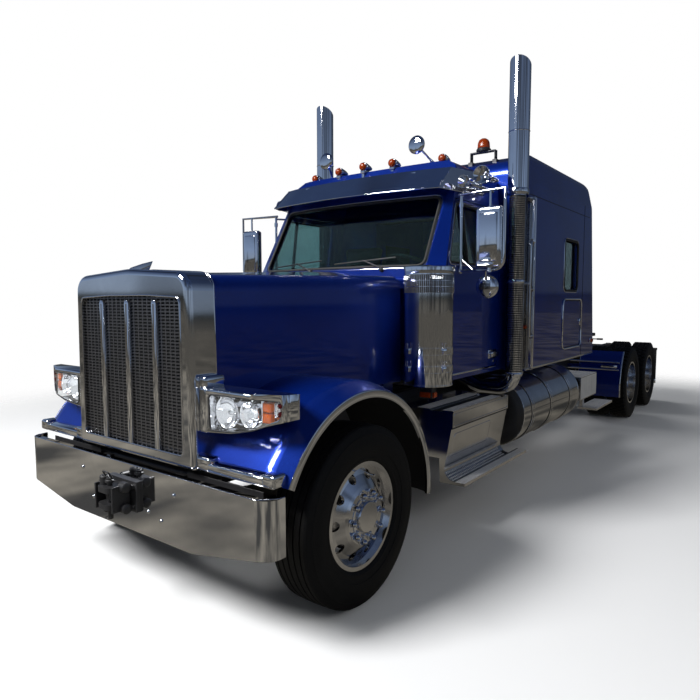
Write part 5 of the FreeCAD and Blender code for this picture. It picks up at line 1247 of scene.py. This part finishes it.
# The block behind the sleeper window is painted shade for the dark inside seen through the glass; the rest
# are real rubber gaskets and seam lines.
dark = (hoop(fromSide(1.17, rectangle(*sleeperLook["window"])), 0.013, 0.06),
    tube([(skin, 4.4, 1.165), (skin, 4.4, 2.895)], 0.0035, 0, 2),
    tube([(skin, 2.64, 2.78), (skin, 4.6, 2.78)], 0.0035, 0, 2),
    hoop(fromSide(skin, rectangle(*sleeperLook["ditch"])), 0.004, 0.05),
    block((1.085, 3.64, 1.86), (1.105, 4.24, 2.51)))
finishBoth("sleeperGasketsAndWindowShade", "chassis", "flap", *dark)
bright = (hoop(fromSide(1.175, rectangle(*sleeperLook["hatch"])), 0.0095, 0.07),
    hoop(fromSide(1.173, rectangle(*sleeperLook["trim"])), 0.0045, 0.07),
    block((1.166, 2.64, 1.15), (1.174, 4.88, 1.172), 0.002),
    block((1.166, 4.28, 1.52), (1.184, 4.32, 1.6), 0.008, 3),
    block((1.166, 4.775, 1.29), (1.178, 4.865, 1.345), 0.005))
finishBoth("sleeperTrim", "chassis", "chrome", *bright, angle=40)
sideLamps = (block((1.172, 4.782, 1.296), (1.192, 4.858, 1.339), 0.007, 3),
    turned(((0, 0), (0, 0.02), (0.01, 0.018), (0.016, 0.01), (0.017, 0)), (1.17, 2.582, 1.56), forward,
        steps=20))
finishBoth("sideLamps", "chassis", "amber", *sideLamps)

# quarter fenders, mudflaps, tail lamps and frame

fenderLook = {
    "centre": (0, 7.0945, 0.5415), "radius": 0.781, "start": 139, "sweep": 51, "points": 18,
    "skin": ((0.61, 0.775), (1.199, 0.775), (1.199, 0.787), (0.61, 0.787))}
rearLook = {
    "bolt": ((0, 0), (0, 0.012), (0.008, 0.011), (0.01, 0)), "lamps": (0.237, 0.343),
    "lens": ((0, 0), (0, 0.036), (0.006, 0.035), (0.01, 0)),
    "ring": ((0, 0.034), (0, 0.045), (0.01, 0.043), (0.01, 0.036)),
    "sideBolt": ((0, 0), (0, 0.014), (0.012, 0.014), (0.014, 0)),
    "topBolt": ((0, 0), (0, 0.012), (0.011, 0.012), (0.013, 0)),
    "grip": ((0, 0), (0, 0.015), (0.09, 0.015), (0.094, 0))}


def fenderLine(x, look):
    angles = [math.radians(look["start"] + look["sweep"] * i / look["points"])
        for i in range(look["points"] + 1)]
    y, z = look["centre"][1:]
    return [(x, y + look["radius"] * math.cos(angle), z + look["radius"] * math.sin(angle))
        for angle in angles]


print("rear")
guards = (swept(fenderLook["skin"], fenderLook["centre"], fenderLook["start"], fenderLook["sweep"], 24),
    block((0.43, 6.3895, 0.8), (0.64, 6.4395, 0.85)), block((0.605, 6.356, 0.782), (0.64, 6.474, 0.868)))
finishBoth("quarterGuards", "chassis", "paint", *guards, angle=40, standsFor="quarter_fenders")
trims = [tube(fenderLine(1.198, fenderLook), 0.009), tube(fenderLine(0.612, fenderLook), 0.007)]
trims += [tube([(x, y, z) for x in (0.425, 0.9, 1.18)], 0.012) for y, z in ((6.335, 0.8), (6.362, 0.905))]
trims += [block((0.93, 6.322, 0.828), (1.15, 6.338, 0.868)),
    block((0.602, 9.098, 0.305), (1.193, 9.1035, 0.375), 0.002),
    block((0.602, 9.1165, 0.305), (1.193, 9.122, 0.375), 0.002)]
trims += [turned(rearLook["bolt"], (x, 9.1165, 0.885), yAxis, steps=6) for x in (0.66, 0.82, 0.98, 1.14)]
finishBoth("quarterTrim", "chassis", "chrome", *trims, angle=40)
lenses = [turned(rearLook["lens"], (x, 9.1985, 0.855), yAxis, steps=28) for x in rearLook["lamps"]]
finishBoth("tailLenses", "chassis", "red", *lenses)
boxes = [block((0.18, 9.148, 0.8), (0.4, 9.1985, 0.91), 0.012, 3)]
boxes += [turned(rearLook["ring"], (x, 9.1975, 0.855), yAxis, steps=28, closed=True)
    for x in rearLook["lamps"]]
finishBoth("tailBoxes", "chassis", "black", *boxes)
bolts = [repeated(turned(rearLook["sideBolt"], (0.4295, 4.6, z), steps=6), 36, (0, 0.125, 0))
    for z in (0.77, 0.96)]
bolts += [repeated(turned(rearLook["topBolt"], (0.36, y, 0.9995), zAxis, steps=6), 2, (0.04, 0, 0))
    for y in (4.95, 6.05, 7.75, 9.02)]
finishBoth("railBolts", "chassis", "iron", *bolts)
handle = tube([(0.28, 7.56, 1.19), (0.47, 7.54, 1.165), (0.56, 7.54, 1.165)], 0.009, 0.03)
finish("wheelHandle", "fifth_wheel_plate", "iron", handle,
    turned(rearLook["grip"], (0.555, 7.54, 1.165), steps=16))
fin = block((-0.425, -0.5665, 1.02), (0.425, -0.5595, 1.0235), 0.0012, 1)
finish("radiatorFins", "chassis", "black", repeated(fin, 54, (0, 0, 0.0138)))
# Black sheets behind the bumper: painted shade for the dark space behind it.
finishBoth("bumperShadeSheets", "chassis", "black", block((0.45, -0.691, 0.56), (1.06, -0.686, 0.84), 0.002, 1))

# seats, bunk and steering wheel

seatLook = {
    "x": 0.47, "voxel": 0.016, "cap": 0.024, "channel": 0.13, "backChannels": (1.9, 2.06, 2.22),
    "pull": 0.006,
    "fill": 0.8}
bunkLook = {
    "half": 1.075, "front": 3.905, "rear": 4.645, "base": 1.56, "top": 1.775, "voxel": 0.03, "cap": 0.022,
    "channels": (-0.72, -0.36, 0, 0.36, 0.72), "pull": 0.008, "fill": 0.8}
wheelLook = {
    "hub": (0.5, 1.62, 2.068), "axis": (0, 0.5, 0.866), "grip": 0.222, "thick": 0.016,
    "spokes": (90, 210, 330),
    "boss": ((-0.04, 0), (-0.04, 0.052), (0.004, 0.06), (0.016, 0.052), (0.021, 0.024), (0.022, 0)),
    "stem": ((-0.07, 0), (-0.07, 0.02), (-0.038, 0.02), (-0.038, 0))}


# cloth blown up a little from a slightly smaller shape, held along its base
def plump(piece, voxel, cap, base):
    modify(piece, "REMESH", mode="VOXEL", voxel_size=voxel)
    before = [vertex.co.copy() for vertex in piece.data.vertices]
    held = piece.vertex_groups.new(name="held")
    held.add([vertex.index for vertex in piece.data.vertices if vertex.co.z < base + 0.012], 1, "REPLACE")
    cloth = piece.modifiers.new("cloth", "CLOTH")
    cloth.settings.use_pressure = True
    cloth.settings.uniform_pressure_force = 4
    cloth.settings.vertex_group_mass = "held"
    cloth.settings.effector_weights.gravity = 0
    cloth.point_cache.frame_start, cloth.point_cache.frame_end = 1, 20
    for number in range(1, 21):
        bpy.context.scene.frame_set(number)
    swollen = piece.evaluated_get(bpy.context.evaluated_depsgraph_get())
    after = [vertex.co.copy() for vertex in swollen.data.vertices]
    piece.modifiers.remove(cloth)
    bpy.context.scene.frame_set(1)
    for vertex, old, new in zip(piece.data.vertices, before, after):
        step = new - old
        vertex.co = old + step * min(1, cap / max(step.length, 0.000001))
    piece.vertex_groups.clear()
    modify(piece, "SUBSURF", levels=1)
    return smooth(piece, 60)


# sewn channels across a pad, pressed in along lines square to one axis
def stitch(piece, lines, axis, pull, width=0.012):
    for vertex in piece.data.vertices:
        for place in lines:
            near = abs(vertex.co[axis] - place)
            if near < width:
                vertex.co -= vertex.normal * pull * (1 - near / width)
    return piece


def steeringParts(look):
    hub, axis, thick = at(*look["hub"]), Vector(look["axis"]), look["thick"]
    angles = [math.radians(30 * i) for i in range(12)]
    section = [(thick * math.sin(angle), look["grip"] + thick * math.cos(angle)) for angle in angles]
    parts = [turned(section, hub, axis, steps=64, closed=True)]
    along = axis.cross(xAxis)
    for angle in look["spokes"]:
        away = xAxis * math.cos(math.radians(angle)) - along * math.sin(math.radians(angle))
        for lean in (-0.05, 0.05):
            side = axis.cross(away) * lean * 0.3
            parts.append(tube([hub - side * 1.4 - axis * 0.012, hub + away * look["grip"] + side * 0.6],
                0.0085))
    return parts + [turned(look["boss"], hub, axis, steps=40), turned(look["stem"], hub, axis, steps=24)]


print("seats")
x, pull = seatLook["x"], seatLook["pull"]
cushion = block((x - 0.235, 1.765, 1.568), (x + 0.235, 2.17, 1.682), 0.035, 4)
cushion = plump(cushion, seatLook["voxel"], seatLook["cap"], 1.568)
stitch(cushion, [x - seatLook["channel"], x, x + seatLook["channel"]], 0, pull)
back = block((x - 0.225, 2.195, 1.715), (x + 0.225, 2.285, 2.375), 0.032, 4)
back.data.transform(about(xAxis, math.radians(-7), (x, 2.24, 1.715)))
back = plump(back, seatLook["voxel"], seatLook["cap"], 1.7)
stitch(back, seatLook["backChannels"], 2, pull)
for left, name, standsFor in ((cushion, "seatCushion", "seats_and_bunk"), (back, "seatBack", None)):
    right = twin(left)
    finish(name + "_left", "chassis", "seat", left, standsFor=standsFor)
    finish(name + "_right", "chassis", "seat", right)
folds = block((x - 0.172, 1.798, 1.24), (x + 0.172, 2.152, 1.262), 0.009)
stands = (block((x - 0.165, 1.805, 1.205), (x + 0.165, 2.145, 1.52), 0.03, 3),
    block((x - 0.245, 1.76, 1.52), (x + 0.245, 2.2, 1.572), 0.018, 3), repeated(folds, 7, (0, 0, 0.038)),
    block((x - 0.2, 2.18, 1.56), (x + 0.2, 2.215, 1.76), 0.012))
finishBoth("seatStands", "chassis", "dash", *stands, angle=40)

half, front, rear, base, top = (bunkLook[key] for key in ("half", "front", "rear", "base", "top"))
bunkParts = [block((-half, front, 1.19), (half, rear, base), 0.012)]
bunkParts += [block((a, front - 0.008, 1.235), (a + 0.66, front + 0.004, 1.52), 0.006)
    for a in (-1.03, -0.33, 0.37)]
finish("bunkBase", "chassis", "dash", *bunkParts, angle=40)
mattress = block((-half + 0.03, front + 0.03, base + 0.002), (half - 0.03, rear - 0.03, top - 0.025), 0.045,
    4)
mattress = plump(mattress, bunkLook["voxel"], bunkLook["cap"], base)
stitch(mattress, bunkLook["channels"], 0, bunkLook["pull"], 0.02)
finish("bunkMattress", "chassis", "seat", mattress)
finish("steeringRim", "steering_wheel", "dash", *steeringParts(wheelLook), angle=40,
    standsFor="steering_wheel")

# camera, light, floor

cameraLook = {
    "place": (3.16, -2.743, 1.807), "turn": 37.047, "dip": -4.805, "roll": 0.061, "focal": 587.87,
    "picture": 700}


def addCamera(look):
    camera = bpy.data.cameras.new("photoView")
    camera.sensor_width = 36
    camera.lens = 36 * look["focal"] / look["picture"]
    camera.clip_end = 200
    piece = bpy.data.objects.new("photoView", camera)
    piece.location = at(*look["place"])
    turn = Matrix.Rotation(math.radians(look["turn"]), 3, "Z")
    dip = Matrix.Rotation(math.radians(90 + look["dip"]), 3, "X")
    roll = Matrix.Rotation(math.radians(-look["roll"]), 3, "Z")
    piece.rotation_euler = (turn @ dip @ roll).to_euler()
    bpy.context.scene.collection.objects.link(piece)
    bpy.context.scene.camera = piece


lightLook = {
    "key": {"place": (-3.4, -7.8, 9.2), "aim": (0.2, 1, 1.2), "size": (4, 4), "power": 2300},
    "side": {"place": (9.5, 1, 6), "aim": (0.5, 2.5, 1.2), "size": (8, 3), "power": 120, "mirrored": False},
    "back": {"place": (-6, 11, 8.5), "aim": (0, 4, 1.5), "size": (6, 4), "power": 320, "mirrored": False}}


def addLight(name, look):
    lamp = bpy.data.lights.new(name, "AREA")
    lamp.shape = "RECTANGLE"
    lamp.size, lamp.size_y = look["size"]
    lamp.energy = look["power"]
    piece = bpy.data.objects.new(name, lamp)
    piece.location = at(*look["place"])
    aim = at(*look["aim"]) - piece.location
    piece.rotation_euler = aim.to_track_quat("-Z", "Y").to_euler()
    piece.visible_glossy = look.get("mirrored", True)
    bpy.context.scene.collection.objects.link(piece)


worldLook = {
    "seen": rgb(1, 1, 1), "behind": 0.75, "shapes": 0.7, "shapeScale": 3.2, "light": rgb(0.8, 0.86, 0.95),
    "strength": 0.16,
    "mirror": ((0, rgb(0.1, 0.095, 0.085)), (0.499, rgb(0.1, 0.095, 0.085)),
        (0.501, rgb(0.018, 0.021, 0.019)),
        (0.5045, rgb(0.024, 0.028, 0.025)), (0.508, rgb(0.25, 0.31, 0.4)), (0.56, rgb(0.22, 0.3, 0.45)),
        (0.66, rgb(0.13, 0.18, 0.29)), (0.8, rgb(0.034, 0.056, 0.125)), (1, rgb(0.022, 0.038, 0.095)))}


def addWorld(look):
    world = bpy.data.worlds.new("studio")
    bpy.context.scene.world = world
    world.use_nodes = True
    tree = world.node_tree
    shade = tree.nodes["Background"]
    path = addNode(tree, "ShaderNodeLightPath").outputs
    direction = addNode(tree, "ShaderNodeTexCoord").outputs["Generated"]
    split = addNode(tree, "ShaderNodeSeparateXYZ", {0: direction}).outputs
    ramp = addNode(tree, "ShaderNodeValToRGB", {0: reach(tree, split[2], -1, 1)})
    stops = ramp.color_ramp.elements
    stops[0].position, stops[0].color = look["mirror"][0]
    stops[1].position, stops[1].color = look["mirror"][-1]
    for place, colour in look["mirror"][1:-1]:
        stops.new(place).color = colour
    behind = reach(tree, split[1], 0.25, 0.85, 0, look["behind"])
    mirrored = blendColour(tree, behind, ramp.outputs[0], rgb(0.01, 0.012, 0.016))
    stretched = addNode(tree, "ShaderNodeMapping", {"Vector": direction, "Scale": (1, 1, 0.35)}).outputs[0]
    shapes = reach(tree, noise(tree, stretched, look["shapeScale"], 2), 0.52, 0.62, 0, look["shapes"])
    mirrored = blendColour(tree, shapes, mirrored, rgb(0.012, 0.013, 0.015))
    soft = blendColour(tree, path["Is Glossy Ray"], look["light"], mirrored)
    straight = combine(tree, "MAXIMUM", path["Is Camera Ray"], path["Is Transmission Ray"])
    tree.links.new(blendColour(tree, straight, soft, look["seen"]), shade.inputs["Color"])
    level = combine(tree, "MAXIMUM", straight, path["Is Glossy Ray"])
    tree.links.new(reach(tree, level, 0, 1, look["strength"], 1), shade.inputs["Strength"])


floorLook = {
    "seen": grey(0.87), "light": grey(0.42), "mirror": rgb(0.23, 0.21, 0.175),
    "mirrorDark": rgb(0.05, 0.049, 0.047), "patchScale": 0.75, "shadowShare": 0.45, "middle": (0.6, 3.6, 0),
    "fade": (6, 10.5)}


def blendShader(tree, factor, first, second):
    return addNode(tree, "ShaderNodeMixShader", {0: factor, 1: first, 2: second}).outputs[0]


# the floor keeps the truck's shadow and fades to the white behind it
def addFloor(look):
    pick()
    bpy.ops.mesh.primitive_plane_add(size=160, location=(0, 0, -0.0005))
    floor = bpy.context.object
    floor.name = "paleFloor"
    material, tree, shader = newMaterial("paleFloor", Roughness=1, Specular_IOR_Level=0)
    path = addNode(tree, "ShaderNodeLightPath").outputs
    straight = combine(tree, "MAXIMUM", path["Is Camera Ray"], path["Is Transmission Ray"])
    shader.inputs["Base Color"].default_value = look["light"]
    place = objectPlace(tree)
    patches = reach(tree, noise(tree, place, look["patchScale"], 3), 0.4, 0.6)
    ground = blendColour(tree, patches, look["mirrorDark"], look["mirror"])
    glowing = addNode(tree, "ShaderNodeEmission", {"Color": ground}).outputs[0]
    shaded = addNode(tree, "ShaderNodeBsdfDiffuse", {"Color": ground}).outputs[0]
    mirrored = blendShader(tree, look["shadowShare"], glowing, shaded)
    indirect = blendShader(tree, path["Is Glossy Ray"], shader.outputs[0], mirrored)
    seen = addNode(tree, "ShaderNodeBsdfDiffuse", {"Color": look["seen"]}).outputs[0]
    clear = addNode(tree, "ShaderNodeBsdfTransparent").outputs[0]
    away = addNode(tree, "ShaderNodeVectorMath", {0: place, 1: at(*look["middle"])}, operation="DISTANCE")
    fade = addNode(tree, "ShaderNodeMapRange", {0: away.outputs["Value"], 1: look["fade"][0],
        2: look["fade"][1]},
        interpolation_type="SMOOTHERSTEP").outputs[0]
    whole = blendShader(tree, straight, indirect, blendShader(tree, fade, seen, clear))
    leave = next(n for n in tree.nodes if n.bl_idname == "ShaderNodeOutputMaterial")
    tree.links.new(whole, leave.inputs["Surface"])
    floor.data.materials.append(material)


addCamera(cameraLook)
for lightName, look in lightLook.items():
    addLight(lightName, look)
addWorld(worldLook)
addFloor(floorLook)
bpy.context.scene.view_settings.view_transform = "Standard"
